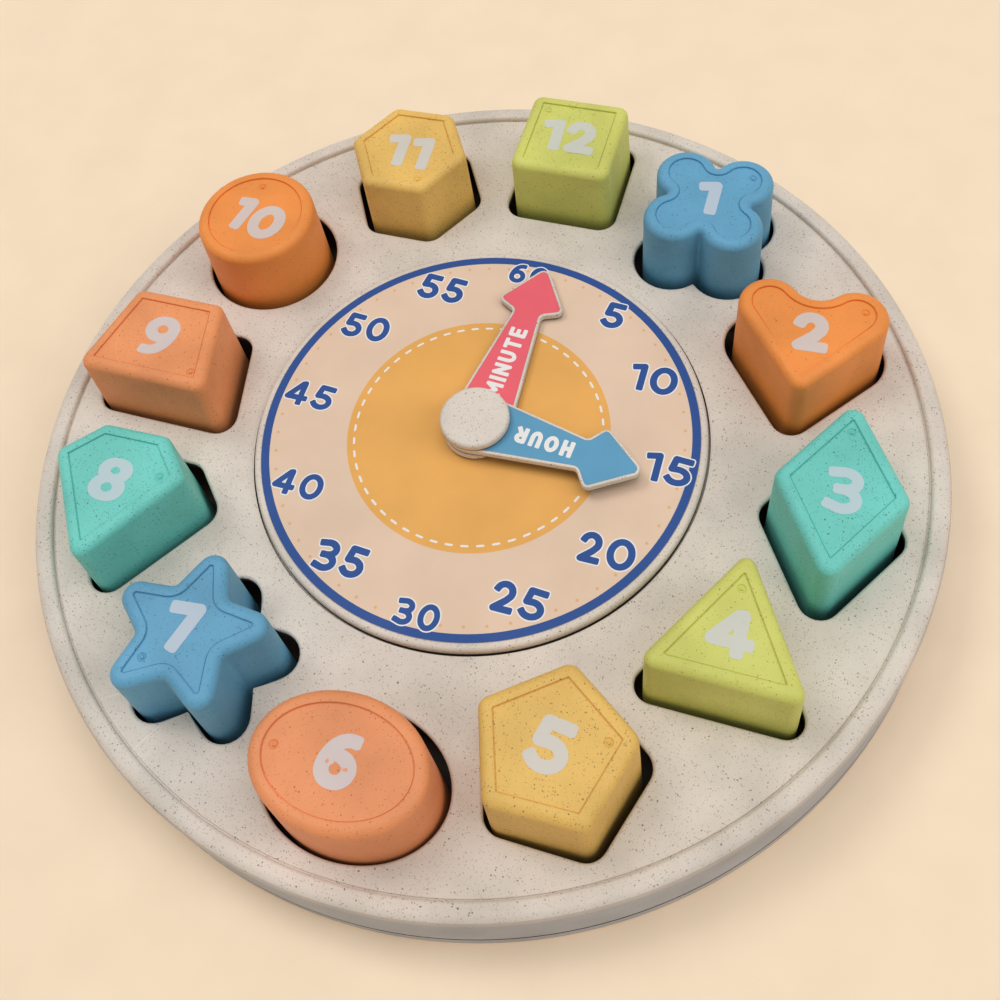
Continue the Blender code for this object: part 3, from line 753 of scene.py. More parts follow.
SHAPES = (
    BlockShape(1, "clover", 0.992, 29.9, (0.49, 0.66), -0.3, "blue", (45.2, 79.2), (6.6, 12.5), (56.2, 88.7)),
    BlockShape(2, "heart", 0.966, 64.0, (0.56, 0.59), 1.0, "orange", (80.2, 39.9), (9.3, 12.5), (92.6, 49.0), 3.0),
    BlockShape(3, "diamond", 1.036, 92.4, (0.08, 0.92), 0.3, "mint", (94.8, -3.6), (9.1, 12.6), (94.3, 12.7)),
    BlockShape(4, "triangle", 0.976, 121.0, (0.27, -0.19), 0.0, "lime", (76.3, -45.0), (11.2, 11.9), (76.5, -34.1)),
    BlockShape(5, "pentagon", 1.004, 150.5, (-0.59, -0.39), 1.6, "yellow", (43.9, -80.1), (9.8, 12.8),
               (56.0, -76.1), -3.0),
    BlockShape(6, "oval", 1.043, 180.2, (0.27, -0.85), -0.5, "salmon", (0.2, -95.8), (9.8, 12.7), (-15.1, -96.4)),
    BlockShape(7, "star", 0.981, 210.7, (-0.88, -0.35), 0.2, "blue", (-47.4, -76.9), (9.2, 12.7),
               (-53.5, -86.1), 5.0),
    BlockShape(8, "gem", 1.048, 239.2, (-0.57, -0.53), 1.2, "mint", (-83.0, -45.3), (10.1, 12.4), (-70.7, -41.5)),
    BlockShape(9, "trapezoid", 0.979, 269.5, (-0.94, -0.28), 0.0, "rust", (-90.3, -1.1), (10.2, 12.9),
               (-76.6, -10.0)),
    BlockShape(10, "circle", 1.010, 299.3, (-0.90, 0.27), -10.0, "orange", (-80.2, 44.1), (17.8, 12.6),
               (-83.4, 55.9), -12.5),
    BlockShape(11, "hexagon", 0.998, 330.6, (-0.55, 0.54), 1.2, "yellow", (-44.85, 78.6), (14.5, 13.0),
               (-38.3, 68.4), 0.0, -3.0),
    BlockShape(12, "square", 1.026, 0.5, (0.16, 0.86), 0.3, "lime", (0.7, 94.0), (16.7, 12.8),
               (-8.2, 103.1), 0.0, -3.0),
)


# The case

@dataclass
class Case:
    """Two moulded shells: the plate with its rim and sockets, and the shallow tray under it."""
    radius: float = BASE_RADIUS
    draft: float = 0.05
    wall: float = 2.4
    plate: float = 21.2
    plate_thickness: float = 2.2
    rim_width: float = 5.0
    rim_rise: float = 1.5
    rim_inner_round: float = 1.0
    rim_outer_round: float = 2.3
    parting: float = 4.7
    parting_chamfer: float = 0.3
    foot_round: float = 0.8
    floor: float = 2.0
    lip_wall: float = 1.8
    lip_rise: float = 3.0
    socket_clearance: float = 2.1
    socket_round: float = 0.9
    seat_depth: float = 2.0
    boss_place: float = 108.0
    first_boss: float = 16.0
    boss_radius: float = 4.0
    pilot_radius: float = 1.7
    screw_length: float = 10.0
    tower_radius: float = 5.3
    tower_height: float = 3.8
    head_seat: float = 2.0
    bore_radius: float = 3.3
    seat_radius: float = BASE_RADIUS * 0.5016 + 2 * FIT_CLEARANCE
    pivot_radius: float = 3.3

    def build(self) -> None:
        """Build both shells and give them their finish, with painted shade on their outer sides, inside them and in
        their gaps.
        """
        seat = self.plate - self.seat_depth
        top = settle(self.top(), "base", STRAW, "upper_shell")
        # Painted shade on the outer side below the rim's round edge
        tint(top, STRAW_SIDE_SHADE, lambda at: self.is_side(at) and at.z > self.parting + 1)
        # Painted half shade on the lower part of the rim's outer round, where it turns down into the side
        tint(top, STRAW_EDGE_SHADE, lambda at: from_axis(at) > self.radius - 0.6 and abs(at.z - self.plate) < 0.65)
        # Painted shade below the soft socket edges, away from the outer side: socket walls, the plate's underside,
        # the skirt's inside and the parting chamfer
        tint(top, INSIDE_SHADE, lambda at: at.z < self.plate - self.socket_round and not self.is_side(at)
             and (from_axis(at) > self.seat_radius + NEAR or at.z < seat - NEAR))
        # Painted shade on the wall of the dial's seat, in the gap round the dial
        tint(top, INSIDE_SHADE, lambda at: abs(from_axis(at) - self.seat_radius) < NEAR
             and seat < at.z < self.plate - NEAR)
        tray = settle(self.tray(), "base", STRAW, "lower_shell")
        # Painted shade on the tray's outer side
        tint(tray, STRAW_SIDE_SHADE, lambda at: self.is_side(at) and self.foot_round < at.z < self.parting - 1)
        # Painted shade on the tray above its floor, apart from its outer side
        tint(tray, INSIDE_SHADE, lambda at: at.z > self.floor - 0.05 and not self.is_side(at))

    def is_side(self, at: Vector) -> bool:
        """Tell whether a place in millimetres is on the outer side below the rim's round edge."""
        return from_axis(at) > self.radius - self.draft - 0.15 and at.z < self.plate

    def columns(self, radius: float, foot: float, top: float) -> Item:
        """Return upright round bodies, one at each screw, as one."""
        places = [(*clock(self.boss_place, self.first_boss + 60 * index), 0) for index in range(6)]
        return joined("columns", [put(slab("column", disc(radius), foot, top), place) for place in places])

    def top(self) -> Item:
        """Spin the plate, rim and skirt, then cut the sockets with their soft edges.

        Returns:
            The upper shell.
        """
        rim_top = self.plate + self.rim_rise
        rim_foot = self.radius - self.rim_width
        under = self.plate - self.plate_thickness
        seat = self.plate - self.seat_depth
        skirt = self.radius - self.draft
        foot = self.parting + REST_GAP
        shell = turned("case_top", [
            (self.pivot_radius, seat), (self.seat_radius, seat),
            (self.seat_radius, self.plate - 0.12), (self.seat_radius + 0.05, self.plate),
            (rim_foot - 0.55, self.plate), (rim_foot - 0.35, self.plate - 0.3), (rim_foot, self.plate - 0.35),
            *arc(rim_foot + self.rim_inner_round, rim_top - self.rim_inner_round, self.rim_inner_round, 180, 90),
            *top_edge(self.radius, rim_top, self.rim_outer_round, 10),
            (skirt, foot + self.parting_chamfer), (skirt - self.parting_chamfer, foot), (skirt - self.wall, foot),
            (self.radius - self.wall, under), (self.seat_radius + 2, under),
            (self.seat_radius + 2, seat - self.plate_thickness), (self.pivot_radius, seat - self.plate_thickness)])
        mouth = self.socket_clearance + self.socket_round
        levels = [(self.socket_clearance, under - OVERRUN),
                  *arc(mouth, self.plate - self.socket_round, self.socket_round, 180, 90, 6),
                  (mouth, self.plate + 2 * OVERRUN)]
        sockets = [put(raised("socket", shape.outline, levels), (*shape.socket_place(), 0)) for shape in SHAPES]
        cut(shell, joined("sockets", sockets))
        boss_foot = self.floor + self.tower_height + REST_GAP
        cut(shell, self.columns(self.boss_radius, boss_foot, under + self.plate_thickness / 2), "UNION")
        cut(shell, self.columns(self.pilot_radius, boss_foot - OVERRUN, boss_foot + self.screw_length))
        return soften(shell)

    def tray(self) -> Item:
        """Spin the tray with its foot and lip, then add the screw towers and their bores.

        Returns:
            The lower shell.
        """
        side = self.radius - self.draft
        lip = side - self.wall - FIT_CLEARANCE
        lip_top = self.parting + self.lip_rise
        tray = turned("case_tray", [
            (0, 0), (side - 6.0, 0), (side - 5.6, 0.5), (side - 4.4, 0.5), (side - 4.0, 0),
            *arc(side - self.foot_round, self.foot_round, self.foot_round, 270, 360, 6),
            (side, self.parting - self.parting_chamfer), (side - self.parting_chamfer, self.parting),
            (lip, self.parting), (lip, lip_top), (lip - self.lip_wall, lip_top),
            (lip - self.lip_wall, self.floor), (0, self.floor)])
        top = self.floor + self.tower_height
        cut(tray, self.columns(self.tower_radius, self.floor / 2, top), "UNION")
        cut(tray, self.columns(self.bore_radius, -OVERRUN, top - self.head_seat))
        cut(tray, self.columns(self.pilot_radius, 0, top + OVERRUN))
        return soften(tray)


# The blocks

# Width of the strokes of a block's number, and how far they are doubled sideways
USUAL_STROKE = (3.25, 0.2)
STROKES = {3: (2.75, 0.0), 4: (3.1, 0.0), 5: (3.1, 0.0), 6: (3.15, 0.35), 8: (2.45, 1.05), 9: (2.9, 0.6)}


@dataclass
class Block:
    """A drafted block: soft top edge, sunk face with its number and the mark of its mould's gate."""
    shape: BlockShape
    foot: float = 2.3
    height: float = 38.7
    draft: float = 0.6
    edge_round: float = 2.3
    margin: float = 3.3
    sunk: float = 0.5
    ledge: float = 2.2
    lid: float = 1.6
    dimple_radius: float = 1.15
    dimple_depth: float = 0.5
    print_height: float = 0.06

    def build(self) -> None:
        """Build the block, its number and its base plate's finish."""
        finish = BLOCK_FINISHES[self.shape.colour]
        settle(self.body(), self.shape.name, finish, f"{self.shape.name}_{self.shape.figure}")
        settle(self.number(), self.shape.name, number_print(finish))
        dress(bpy.data.objects[f"{self.shape.name}_base_plate"], finish)

    def body(self) -> Item:
        """Raise the block ring by ring, then press in the gate mark with the stud in its middle.

        Returns:
            The block in its place.
        """
        top = self.height
        face = top - self.sunk
        levels = [(self.draft - self.ledge, self.lid + REST_GAP), (self.draft - self.ledge, 0),
                  (self.draft - 0.4, 0), (self.draft - 0.1, 0.12), (self.draft, 0.5),
                  *arc(-self.edge_round, top - self.edge_round, self.edge_round, 0, 90, 10),
                  (-self.margin + 0.12, top), (-self.margin, top - 0.12), (-self.margin, face - 0.15),
                  (-self.margin - 0.2, face - 0.15), (-self.margin - 0.3, face)]
        block = put(raised(self.shape.name + "_body", self.shape.outline, levels),
                    (*self.shape.place(), self.foot), self.shape.twist)
        mark = (*self.shape.dimple_place, self.foot + top - self.sunk)
        depth = self.dimple_depth
        bowl = [(self.dimple_radius * share, -depth * down)
                for share, down in ((0.35, 1.0), (0.62, 0.86), (0.84, 0.55), (1.0, 0.0), (1.0, -1.0))]
        cut(block, put(raised("bowl", disc, bowl), mark))
        soften(block)
        stud = raised("stud", lambda radius: disc(radius, 16),
                      [(0.42, -depth - 0.1), (0.42, -0.12), (0.3, 0.0), (0.12, 0.06)])
        return joined(block.name, [block, soften(put(stud, mark), 60)])

    def number(self) -> Item:
        """Print the block's number on its sunk face.

        Returns:
            The number in its place.
        """
        shape = self.shape
        stroke, spread = STROKES.get(shape.hour, USUAL_STROKE)
        lettering = Lettering(str(shape.hour), shape.number_size, stroke, 0.9, shape.number_slant,
                              squareness=0.45, spread=spread)
        return put(lettering.draw(shape.name + "_number", self.print_height),
                   (*shape.number_place, self.foot + self.height - self.sunk), shape.number_turn)


def number_print(under: Finish) -> Finish:
    """Return the pale print of a block's number, through which a little of the block shows."""
    spots = ((-2.2, -96.5, 0.45), (2.5, -97.1, 0.5), (-0.2, -96.4, 0.35)) if under.name == "salmon" else ()
    return Finish("print_on_" + under.name, mixed((206, 209, 219), 0.8, under.colour, 0.2),
                  roughness=0.5, mottle=0.02, worn_colour=under.colour, worn_spots=spots)


# Printed figures, drawn as strokes of one width

def loop(x: float, y: float, wide: float, tall: float) -> Runs:
    """Return a whole ellipse as two runs that overlap a little."""
    return [bow(x, y, wide, tall, 90, 270), bow(x, y, wide, tall, -90, 90)]


GLYPHS: dict[str, Runs] = {
    "0": loop(0.5, 0.5, 0.5, 0.5),
    "1": [[(0.0, 0.91), (1.0, 0.985)], [(1.0, 0.985), (1.0, 0.0)]],
    "2": [bow(0.45, 0.70, 0.48, 0.30, 163, -28) + [(0.66, 0.38), (0.03, 0.02)], [(0.03, 0.02), (1.0, 0.02)]],
    "3": [[(0.04, 0.955)] + bow(0.50, 0.765, 0.46, 0.235, 105, -85), [(0.30, 0.52), (0.52, 0.52)],
          bow(0.48, 0.26, 0.52, 0.26, 85, -100) + [(0.0, 0.075)]],
    "4": [[(0.74, 0.0), (0.74, 1.0)], [(0.74, 1.0), (0.66, 1.0), (0.0, 0.25)], [(0.0, 0.25), (1.0, 0.25)]],
    "5": [[(1.0, 0.965), (0.25, 1.0)], [(0.25, 1.0), (0.12, 0.56)],
          [(0.12, 0.56)] + bow(0.46, 0.285, 0.52, 0.285, 100, -152)],
    "6": [bow(0.80, 0.30, 0.80, 0.70, 84, 180), *loop(0.5, 0.30, 0.5, 0.30)],
    "7": [[(0.0, 0.99), (1.0, 1.0)], [(1.0, 1.0), (0.40, 0.0)]],
    "8": [*loop(0.53, 0.764, 0.465, 0.236), *loop(0.5, 0.264, 0.5, 0.264)],
    "9": [bow(0.22, 0.715, 0.78, 0.715, -98, 0), *loop(0.5, 0.715, 0.5, 0.285)],
    "M": [[(0, 0), (0, 1)], [(0, 1), (0.5, 0.3)], [(0.5, 0.3), (1, 1)], [(1, 1), (1, 0)]],
    "I": [[(0.5, 0), (0.5, 1)]],
    "N": [[(0, 0), (0, 1)], [(0, 1), (1, 0)], [(1, 0), (1, 1)]],
    "U": [[(0, 1)] + bow(0.5, 0.4, 0.5, 0.4, 180, 360) + [(1, 1)]],
    "T": [[(0, 1), (1, 1)], [(0.5, 1), (0.5, 0)]],
    "E": [[(1, 1), (0, 1)], [(0, 1), (0, 0)], [(0, 0), (1, 0)], [(0, 0.5), (0.85, 0.5)]],
    "H": [[(0, 0), (0, 1)], [(1, 0), (1, 1)], [(0, 0.5), (1, 0.5)]],
    "O": loop(0.5, 0.5, 0.5, 0.5),
    "R": [[(0, 0), (0, 1)], [(0, 1), (0.5, 1)] + bow(0.5, 0.74, 0.5, 0.26, 90, -90) + [(0, 0.48)],
          [(0.45, 0.48), (1, 0)]],
}
# Share of a sign's width that each takes, unless it is one
WIDTHS = {"0": 1.12, "1": 0.64, "2": 0.92, "4": 1.12, "I": 0.3, "M": 1.2, "O": 1.15, "E": 0.85, "T": 0.95}
# How near a stroke's end touches another stroke, and how much higher each one is than the last
TOUCHING = 0.15
STEP = 0.001


@dataclass
class Lettering:
    """A short word or number in plain strokes, centred on the origin and upright."""
    text: str
    size: Point
    stroke: float
    gap: float = 1.2
    slant: float = 0.0
    grow: float = 0.0
    squareness: float = 0.55
    spread: float = 0.0

    def runs(self) -> Runs:
        """Place each sign's strokes side by side.

        Returns:
            The middle line of each stroke.
        """
        widths = [WIDTHS.get(sign, 1.0) for sign in self.text]
        unit = (self.size[0] - self.gap * (len(widths) - 1)) / sum(widths)
        tall = self.size[1] - self.stroke
        lean = math.tan(math.radians(self.slant))
        left = -self.size[0] / 2
        runs = []
        for sign, width in zip(self.text, widths):
            wide = max(0.0, width * unit - self.stroke - self.spread)
            for shift in sorted({0.0, self.spread}):
                runs += [[(left + self.stroke / 2 + shift + x * wide + (y - 0.5) * tall * lean, (y - 0.5) * tall)
                          for x, y in run] for run in GLYPHS[sign]]
            left += width * unit + self.gap
        return runs

    def end(self, place: Point, heading: float, free: bool) -> Points:
        """Draw one end of a stroke: cut off with soft corners where it is free, or round.

        Args:
            place: Last point of the run.
            heading: Where the run is going there, in degrees.
            free: Whether no other stroke starts there.

        Returns:
            Points from its right side to its left.
        """
        half = self.stroke / 2 + self.grow
        if not free:
            return arc(*place, half, heading - 90, heading + 90, 12)
        corner = half * (1 - self.squareness) + self.grow * self.squareness
        ahead = half * 0.94 - corner
        points = []
        for side, first in ((-1, -90), (1, 0)):
            x, y = moved([(ahead, side * (half - corner))], place, heading)[0]
            points += arc(x, y, corner, heading + first, heading + first + 90, 6)
        return points

    def stripe(self, run: Points, runs: Runs) -> Points:
        """Draw the outline of one stroke.

        Args:
            run: Its middle line.
            runs: The middle lines of all strokes.

        Returns:
            The points of the outline, anticlockwise.
        """
        half = self.stroke / 2 + self.grow
        headings = []
        for before, after in zip(run[:1] + run, run[1:] + run[-1:]):
            headings.append(math.degrees(math.atan2(after[1] - before[1], after[0] - before[0])))
        middle = list(zip(run, headings))[1:-1]
        right = [moved([(0, -half)], place, turn)[0] for place, turn in middle]
        left = [moved([(0, half)], place, turn)[0] for place, turn in middle]
        others = [point for other in runs if other is not run for point in other]
        free = [all(math.dist(place, point) > TOUCHING for point in others) for place in (run[0], run[-1])]
        head = self.end(run[-1], headings[-1], free[1])
        tail = self.end(run[0], headings[0] + 180, free[0])
        return right + head + left[::-1] + tail

    def draw(self, name: str, rise: float, foot: float = 0.0) -> Item:
        """Raise every stroke from the foot by the print's thickness, each a touch more than the last."""
        runs = self.runs()
        return joined(name, [slab("stroke", self.stripe(run, runs), foot - PRINT_SINK, foot + rise + STEP * index)
                             for index, run in enumerate(runs)])


# The dial

# Centre and size of each printed number
DIAL_NUMBERS: dict[str, tuple[Point, Point]] = {
    "60": ((-1.25, 53.8), (11.4, 6.9)), "5": ((26.1, 45.4), (6.3, 9.0)),
    "10": ((41.9, 27.2), (13.0, 8.9)), "15": ((51.7, 1.1), (12.5, 8.75)),
    "20": ((42.2, -25.3), (14.3, 8.7)), "25": ((24.6, -43.5), (13.7, 8.6)),
    "30": ((1.2, -53.5), (11.7, 7.1)), "35": ((-23.0, -44.3), (13.9, 8.9)),
    "40": ((-41.9, -26.9), (14.1, 7.7)), "45": ((-49.4, 0.0), (14.1, 8.0)),
    "50": ((-41.9, 25.4), (13.9, 8.4)), "55": ((-24.75, 43.6), (13.7, 9.0)),
}


@dataclass
class Dial:
    """Raised disc with its printed film: blue ring, orange middle, dashes, dots and numbers."""
    radius: float = 61.2
    foot: float = 19.5
    top: float = 23.4
    gap_top: float = 21.1
    edge_round: float = 1.0
    film_radius: float = 59.3
    film_thickness: float = 0.3
    film_gap: float = 0.06
    pivot_radius: float = 3.3
    ring: Point = (57.0, 59.25)
    middle_radius: float = 35.65
    dash_radius: float = 33.7
    dash_count: int = 52
    dash_size: Point = (2.2, 0.6)
    dot_radius: float = 55.2
    dot_count: int = 60
    dot_size: float = 0.42
    stroke_share: float = 0.212
    number_edge: float = 0.36
    peg_radius: float = 2.0
    peg_length: float = 2.6

    def build(self) -> None:
        """Build the disc, the film and all its prints."""
        body = settle(self.body(), "base", STRAW, "dial_disc")
        # Painted shade on the disc's side below the gap's top, in the gap between the disc and the plate
        tint(body, INSIDE_SHADE, lambda at: from_axis(at) > self.radius - 0.3 and at.z < self.gap_top)
        film = self.plate("dial_film", self.pivot_radius, self.film_radius, -self.film_thickness, 0.0)
        settle(film, "base", PEACH, "dial_label")
        settle(self.plate("dial_middle", self.pivot_radius, self.middle_radius, 0.0, 0.02), "base", ORANGE_PRINT)
        settle(self.plate("dial_ring", *self.ring, 0.0, 0.02), "base", BLUE_PRINT)
        settle(self.dashes(), "base", WHITE_PRINT)
        settle(self.dots(), "base", OCHRE_PRINT)
        settle(self.numbers("dial_number_edges", self.number_edge, 0.0, 0.035), "base", WHITE_PRINT)
        settle(self.numbers("dial_numbers", 0.0, 0.03, 0.03), "base", BLUE_PRINT)

    def body(self) -> Item:
        """Spin the disc with its soft edge and the shallow pocket for the film, and add its pegs.

        Returns:
            The disc.
        """
        pocket = self.film_radius + self.film_gap
        floor = self.top - self.film_thickness - REST_GAP
        body = turned("dial_body", [
            (self.pivot_radius, self.foot), (self.pivot_radius, floor), (pocket, floor),
            (pocket, self.top - 0.05), (pocket + 0.05, self.top), *top_edge(self.radius, self.top, self.edge_round),
            (self.radius, self.gap_top), (self.radius, self.foot + 0.2), (self.radius - 0.2, self.foot)])
        peg_foot = self.foot - self.peg_length
        levels = [(self.peg_radius - 0.3, peg_foot), (self.peg_radius, peg_foot + 0.3),
                  (self.peg_radius, self.foot + 0.2)]
        pegs = [put(raised("peg", disc, levels), (*place, 0)) for place in regular(3, self.radius * 0.65, 82.5)]
        cut(body, joined("pegs", pegs), "UNION")
        return soften(body)

    def plate(self, name: str, inside: float, outside: float, low: float, high: float) -> Item:
        """Spin a thin flat ring, its heights counted from the dial's top."""
        return soften(turned(name, [(inside, self.top + low), (outside, self.top + low),
                                    (outside, self.top + high), (inside, self.top + high)]))

    def dashes(self) -> Item:
        """Draw one dash and copy it round its circle.

        Returns:
            The dashed circle.
        """
        half_wide = self.dash_size[1] / 2
        middle = self.dash_size[0] / 2 - half_wide
        outline = arc(middle, 0, half_wide, -90, 90, 4) + arc(-middle, 0, half_wide, 90, 270, 4)
        return self.round_about("dial_dashes", outline, self.dash_radius, self.dash_count, 2.0, 0.06)

    def dots(self) -> Item:
        """Draw one minute dot and copy it round the dial."""
        return self.round_about("dial_dots", disc(self.dot_size, 14), self.dot_radius, self.dot_count, -2.0, 0.03)

    def round_about(self, name: str, outline: Points, radius: float, count: int, first: float,
                    rise: float) -> Item:
        """Repeat a flat figure round the dial from a first clock angle on, as one piece."""
        angles = [first + 360 * index / count for index in range(count)]
        return joined(name, [put(slab(name, outline, -PRINT_SINK, rise), (*clock(radius, angle), self.top), -angle)
                             for angle in angles])

    def numbers(self, name: str, grow: float, foot: float, rise: float) -> Item:
        """Print all the numbers, their strokes grown for the pale edge.

        Args:
            name: The piece's name.
            grow: Distance by which the strokes grow.
            foot: Height over the dial's top that they start from.
            rise: Thickness of the print.

        Returns:
            The numbers as one piece.
        """
        parts = []
        for text, (place, size) in DIAL_NUMBERS.items():
            lettering = Lettering(text, size, size[1] * self.stroke_share, 1.25, grow=grow)
            parts.append(put(lettering.draw("number", rise, foot), (*place, self.top)))
        return joined(name, parts)


# The hands and the pivot

@dataclass
class Hand:
    """Arrow-shaped hand with a sunk face, its printed film and its word."""
    name: str
    length: float
    shoulder_place: float
    shoulder_width: float
    neck_place: float
    neck_width: float
    foot: float
    clock_angle: float
    film: Finish
    word: str
    word_place: float
    word_size: Point
    word_turn: float
    word_stroke: float
    thickness: float = 2.3
    edge_round: float = 0.4
    # Height of the lower band that is painted dark as the hand's contact shadow
    seam: float = 0.62
    margin: float = 0.8
    film_thickness: float = 0.3
    film_gap: float = 0.06
    hub_radius: float = 8.9
    tip_round: float = 2.2
    shoulder_round: float = 1.8
    neck_round: float = 1.5
    bore_radius: float = 3.3

    def build(self) -> None:
        """Build the hand, its film and its word."""
        body = settle(self.body(), self.name, STRAW, self.name)
        # Painted shadow on the hand's lower edge and underside
        tint(body, PAINTED_SHADE_BAND, lambda at: at.z < self.foot + self.seam * 0.95)
        settle(self.face(), self.name, self.film, self.name + "_label")
        settle(self.lettering(), self.name, WHITE_PRINT)

    def outline(self, grow: float) -> Points:
        """Draw the arrowhead, neck and tapering shaft round the hub.

        Args:
            grow: Distance by which the outline grows.

        Returns:
            The points of the outline.
        """
        shoulder = self.shoulder_width / 2 - self.shoulder_round
        neck = self.neck_width / 2 + self.neck_round
        return belt([
            (0, self.length - self.tip_round, self.tip_round + grow, 12),
            (-shoulder, self.shoulder_place, self.shoulder_round + grow, 8),
            (-neck, self.neck_place, -(self.neck_round - grow), 8),
            (0, 0, self.hub_radius + grow, 48),
            (neck, self.neck_place, -(self.neck_round - grow), 8),
            (shoulder, self.shoulder_place, self.shoulder_round + grow, 8),
        ])

    def bored(self, item: Item) -> Item:
        """Bore a piece for the stem, then put it in its place."""
        cut(item, slab("bore", disc(self.bore_radius, 64), -OVERRUN, self.thickness + OVERRUN))
        return self.in_place(soften(item))

    def in_place(self, item: Item) -> Item:
        """Turn a piece to the hand's hour and lift it to its height."""
        return put(item, (0, 0, self.foot), -self.clock_angle)

    def body(self) -> Item:
        """Raise the moulded hand with soft edges and the pocket of its film.

        Returns:
            The hand in its place.
        """
        soft = self.edge_round
        pocket = self.film_gap - self.margin
        # A ring at the top of the painted shade band, where the painted shade ends
        levels = [*arc(-soft, soft, soft, -90, 0, 4), (0, self.seam),
                  *arc(-soft, self.thickness - soft, soft, 0, 90, 4),
                  (pocket, self.thickness), (pocket, self.thickness - self.film_thickness - REST_GAP)]
        return self.bored(raised(self.name + "_body", self.outline, levels))

    def face(self) -> Item:
        """Raise the film that lies in the pocket."""
        return self.bored(slab(self.name + "_film", self.outline(-self.margin),
                               self.thickness - self.film_thickness, self.thickness))

    def lettering(self) -> Item:
        """Print the hand's word along its shaft."""
        word = Lettering(self.word, self.word_size, self.word_stroke, 0.85).draw(self.name + "_word", 0.05)
        return self.in_place(put(word, (0, self.word_place, self.thickness), self.word_turn))


HANDS = (
    Hand("minute_hand", length=54.8, shoulder_place=42.6, shoulder_width=18.5, neck_place=38.2, neck_width=8.6,
         foot=23.8, clock_angle=4.0, film=PINK_FILM, word="MINUTE", word_place=21.8, word_size=(23.2, 5.0),
         word_turn=90.0, word_stroke=1.15),
    Hand("hour_hand", length=45.6, shoulder_place=34.2, shoulder_width=17.9, neck_place=29.4, neck_width=9.5,
         foot=26.5, clock_angle=95.0, film=SKY_FILM, word="HOUR", word_place=19.6, word_size=(16.0, 4.9),
         word_turn=-90.0, word_stroke=1.25),
)


@dataclass
class Pivot:
    """Round cap over the hands, with its stem through them."""
    cap_radius: float = 9.3
    cap_foot: float = 29.2
    cap_top: float = 31.6
    cap_round: float = 1.0
    chamfer: float = 0.35
    # Height of the cap's lower band that is painted dark as shade under its edge
    seam: float = 0.5
    stem_radius: float = 3.0
    stem_foot: float = 17.0
    pilot_radius: float = 1.7
    pilot_top: float = 26.0

    def build(self) -> None:
        """Build the cap and finish what holds it and the case from below."""
        cap = settle(self.cap(), "base", STRAW, "pivot_cap")
        # Painted shade on the cap's lower edge, its underside and its stem
        tint(cap, PAINTED_SHADE_BAND, lambda at: at.z < self.cap_foot + self.seam)
        dress(bpy.data.objects["pivot_washer"], STRAW)
        for name in ["pivot_screw"] + [f"case_screw_{index}" for index in range(1, 7)]:
            dress(bpy.data.objects[name], STEEL)

    def cap(self) -> Item:
        """Spin the cap with its soft edge and its stem.

        Returns:
            The cap.
        """
        return soften(turned("cap", [
            (0, self.cap_top), (self.cap_radius * 0.5, self.cap_top),
            *top_edge(self.cap_radius, self.cap_top, self.cap_round),
            (self.cap_radius, self.cap_foot + self.seam + 0.05), (self.cap_radius, self.cap_foot + self.chamfer),
            (self.cap_radius - self.chamfer, self.cap_foot), (self.stem_radius, self.cap_foot),
            (self.stem_radius, self.stem_foot), (self.pilot_radius, self.stem_foot),
            (self.pilot_radius, self.pilot_top), (0, self.pilot_top)], 96))


@dataclass(frozen=True)
class Scratch:
    """A fine pale scratch on a level face."""
    name: str
    body: str
    under: Finish
    height: float
    path: tuple[Point, ...]
    width: float = 0.15

    def build(self) -> None:
        """Lay the scratch as a thin pale line."""
        run = list(self.path)
        outline = Lettering("", (0.0, 0.0), self.width).stripe(run, [run])
        settle(slab(self.name, outline, self.height - PRINT_SINK, self.height + 0.01), self.body,
               Finish("scratched_" + self.under.name, self.under.shade(1.1)))


SCRATCHES = (
    Scratch("block_09_scratch", "block_09", BLOCK_FINISHES["rust"], 40.5,
            ((-102.4, -1.9), (-102.1, -4.2), (-101.2, -6.9), (-99.8, -9.4), (-98.1, -11.2), (-96.3, -12.3),
             (-94.3, -13.0), (-90.3, -13.5), (-87.0, -13.4), (-84.1, -12.7), (-81.5, -11.5), (-79.6, -10.1))),
    Scratch("base_scratch_1", "base", STRAW, 21.2, ((-68.3, -93.7), (-64.5, -91.4))),
    Scratch("base_scratch_2", "base", STRAW, 21.2, ((-54.7, -102.9), (-53.4, -100.1), (-51.1, -96.1))),
)


# The studio

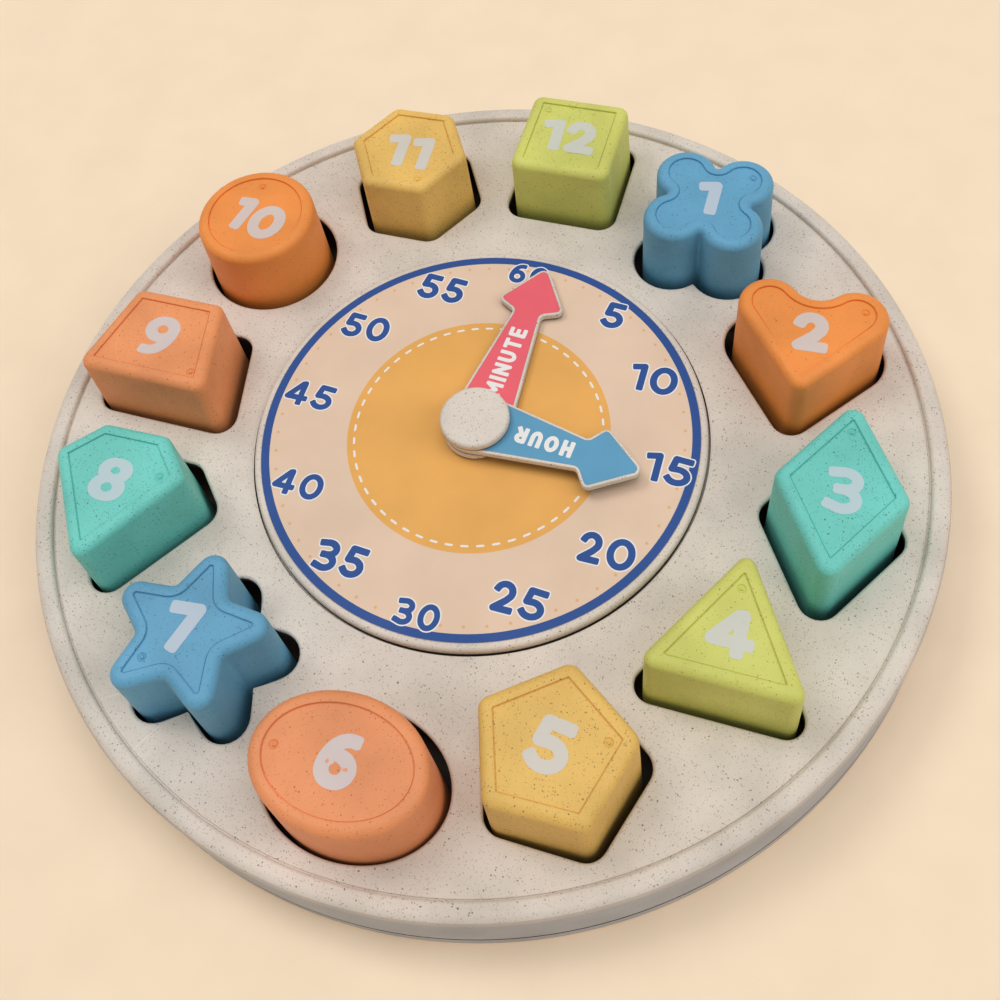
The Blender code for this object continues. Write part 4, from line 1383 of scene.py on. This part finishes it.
@dataclass
class Studio:
    """Camera, lamps and the pale floor."""
    camera_place: Place = (0.0835599, -0.1548925, 0.3146231)
    right: Place = (0.9475, 0.2999841, -0.1106942)
    down: Place = (0.1870629, -0.8007924, -0.5689807)
    ahead: Place = (-0.2593282, 0.5184024, -0.8148667)
    lens: float = 45.403
    shift: Point = (0.02064, -0.16529)
    floor_colour: Colour = (254, 230, 201)
    key_power: float = 15.5
    ceiling_power: float = 23.0
    fill_power: float = 13.0
    sky_strength: float = 0.355

    def build(self) -> None:
        """Set up the camera, the lamps, the world and the floor."""
        self.camera()
        self.lamp("key_lamp", (-1.3, 0.25, 2.4), 1.1, self.key_power)
        self.lamp("ceiling_lamp", (0.2, 0.1, 2.8), 2.0, self.ceiling_power)
        self.lamp("fill_lamp", (1.8, -0.1, 1.8), 1.6, self.fill_power)
        self.world()
        self.floor()
        bpy.context.scene.view_settings.view_transform = "Standard"

    def camera(self) -> None:
        """Place the camera at the photograph's viewpoint."""
        data = bpy.data.cameras.new("camera")
        data.sensor_width = 36.0
        data.lens = self.lens
        data.shift_x, data.shift_y = self.shift
        data.clip_start = 0.01
        item = bpy.data.objects.new("camera", data)
        columns = (Vector(self.right), -Vector(self.down), -Vector(self.ahead))
        item.matrix_world = Matrix.Translation(self.camera_place) @ Matrix(columns).transposed().to_4x4()
        bpy.context.collection.objects.link(item)
        bpy.context.scene.camera = item

    def lamp(self, name: str, place: Place, size: float, power: float) -> None:
        """Add a round soft lamp that faces the dial.

        Args:
            name: The lamp's name.
            place: Where it hangs, in metres.
            size: Its diameter, in metres.
            power: Its power in watts.
        """
        data = bpy.data.lights.new(name, "AREA")
        data.shape = "DISK"
        data.size = size
        data.energy = power
        item = bpy.data.objects.new(name, data)
        item.location = place
        item.rotation_euler = (-Vector(place)).to_track_quat("-Z", "Y").to_euler()
        bpy.context.collection.objects.link(item)

    def world(self) -> None:
        """Give the world an even pale light, and the floor's colour where the camera sees it."""
        world = bpy.data.worlds.new("studio")
        bpy.context.scene.world = world
        world.use_nodes = True
        shader = Shader(world.node_tree)
        light = shader.nodes["Background"]
        shader.fill(light, {"Color": (1.0, 0.965, 0.925, 1.0), "Strength": self.sky_strength})
        seen = shader.add("Background", {"Color": linear(self.floor_colour), "Strength": 1.0})
        paths = shader.add("LightPath", {}).outputs
        share = paths["Is Camera Ray"]
        for kind in ("Is Glossy Ray", "Is Transmission Ray"):
            share = shader.add("Math", {0: share, 1: paths[kind]}, "MAXIMUM").outputs[0]
        mix = shader.add("MixShader", {0: share, 1: light.outputs[0], 2: seen.outputs[0]})
        shader.fill(shader.nodes["World Output"], {"Surface": mix.outputs[0]})

    def floor(self) -> None:
        """Lay the plain pale floor under the case."""
        deselect()
        bpy.ops.mesh.primitive_plane_add(size=6.0, location=(0, 0, -0.0002))
        item = bpy.context.object
        item.name = "floor"
        put(item, (0, 0, -0.2))
        dress(item, Finish("floor", self.floor_colour, roughness=0.85, mottle=0.01, grain=0.02))


def main() -> None:
    """Build the sorter in order and report each piece."""
    logging.basicConfig(level=logging.INFO, format="%(message)s")
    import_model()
    Studio().build()
    Case().build()
    Dial().build()
    for piece in (*HANDS, Pivot(), *[Block(shape) for shape in SHAPES], *SCRATCHES):
        piece.build()


if __name__ == "__main__":
    main()
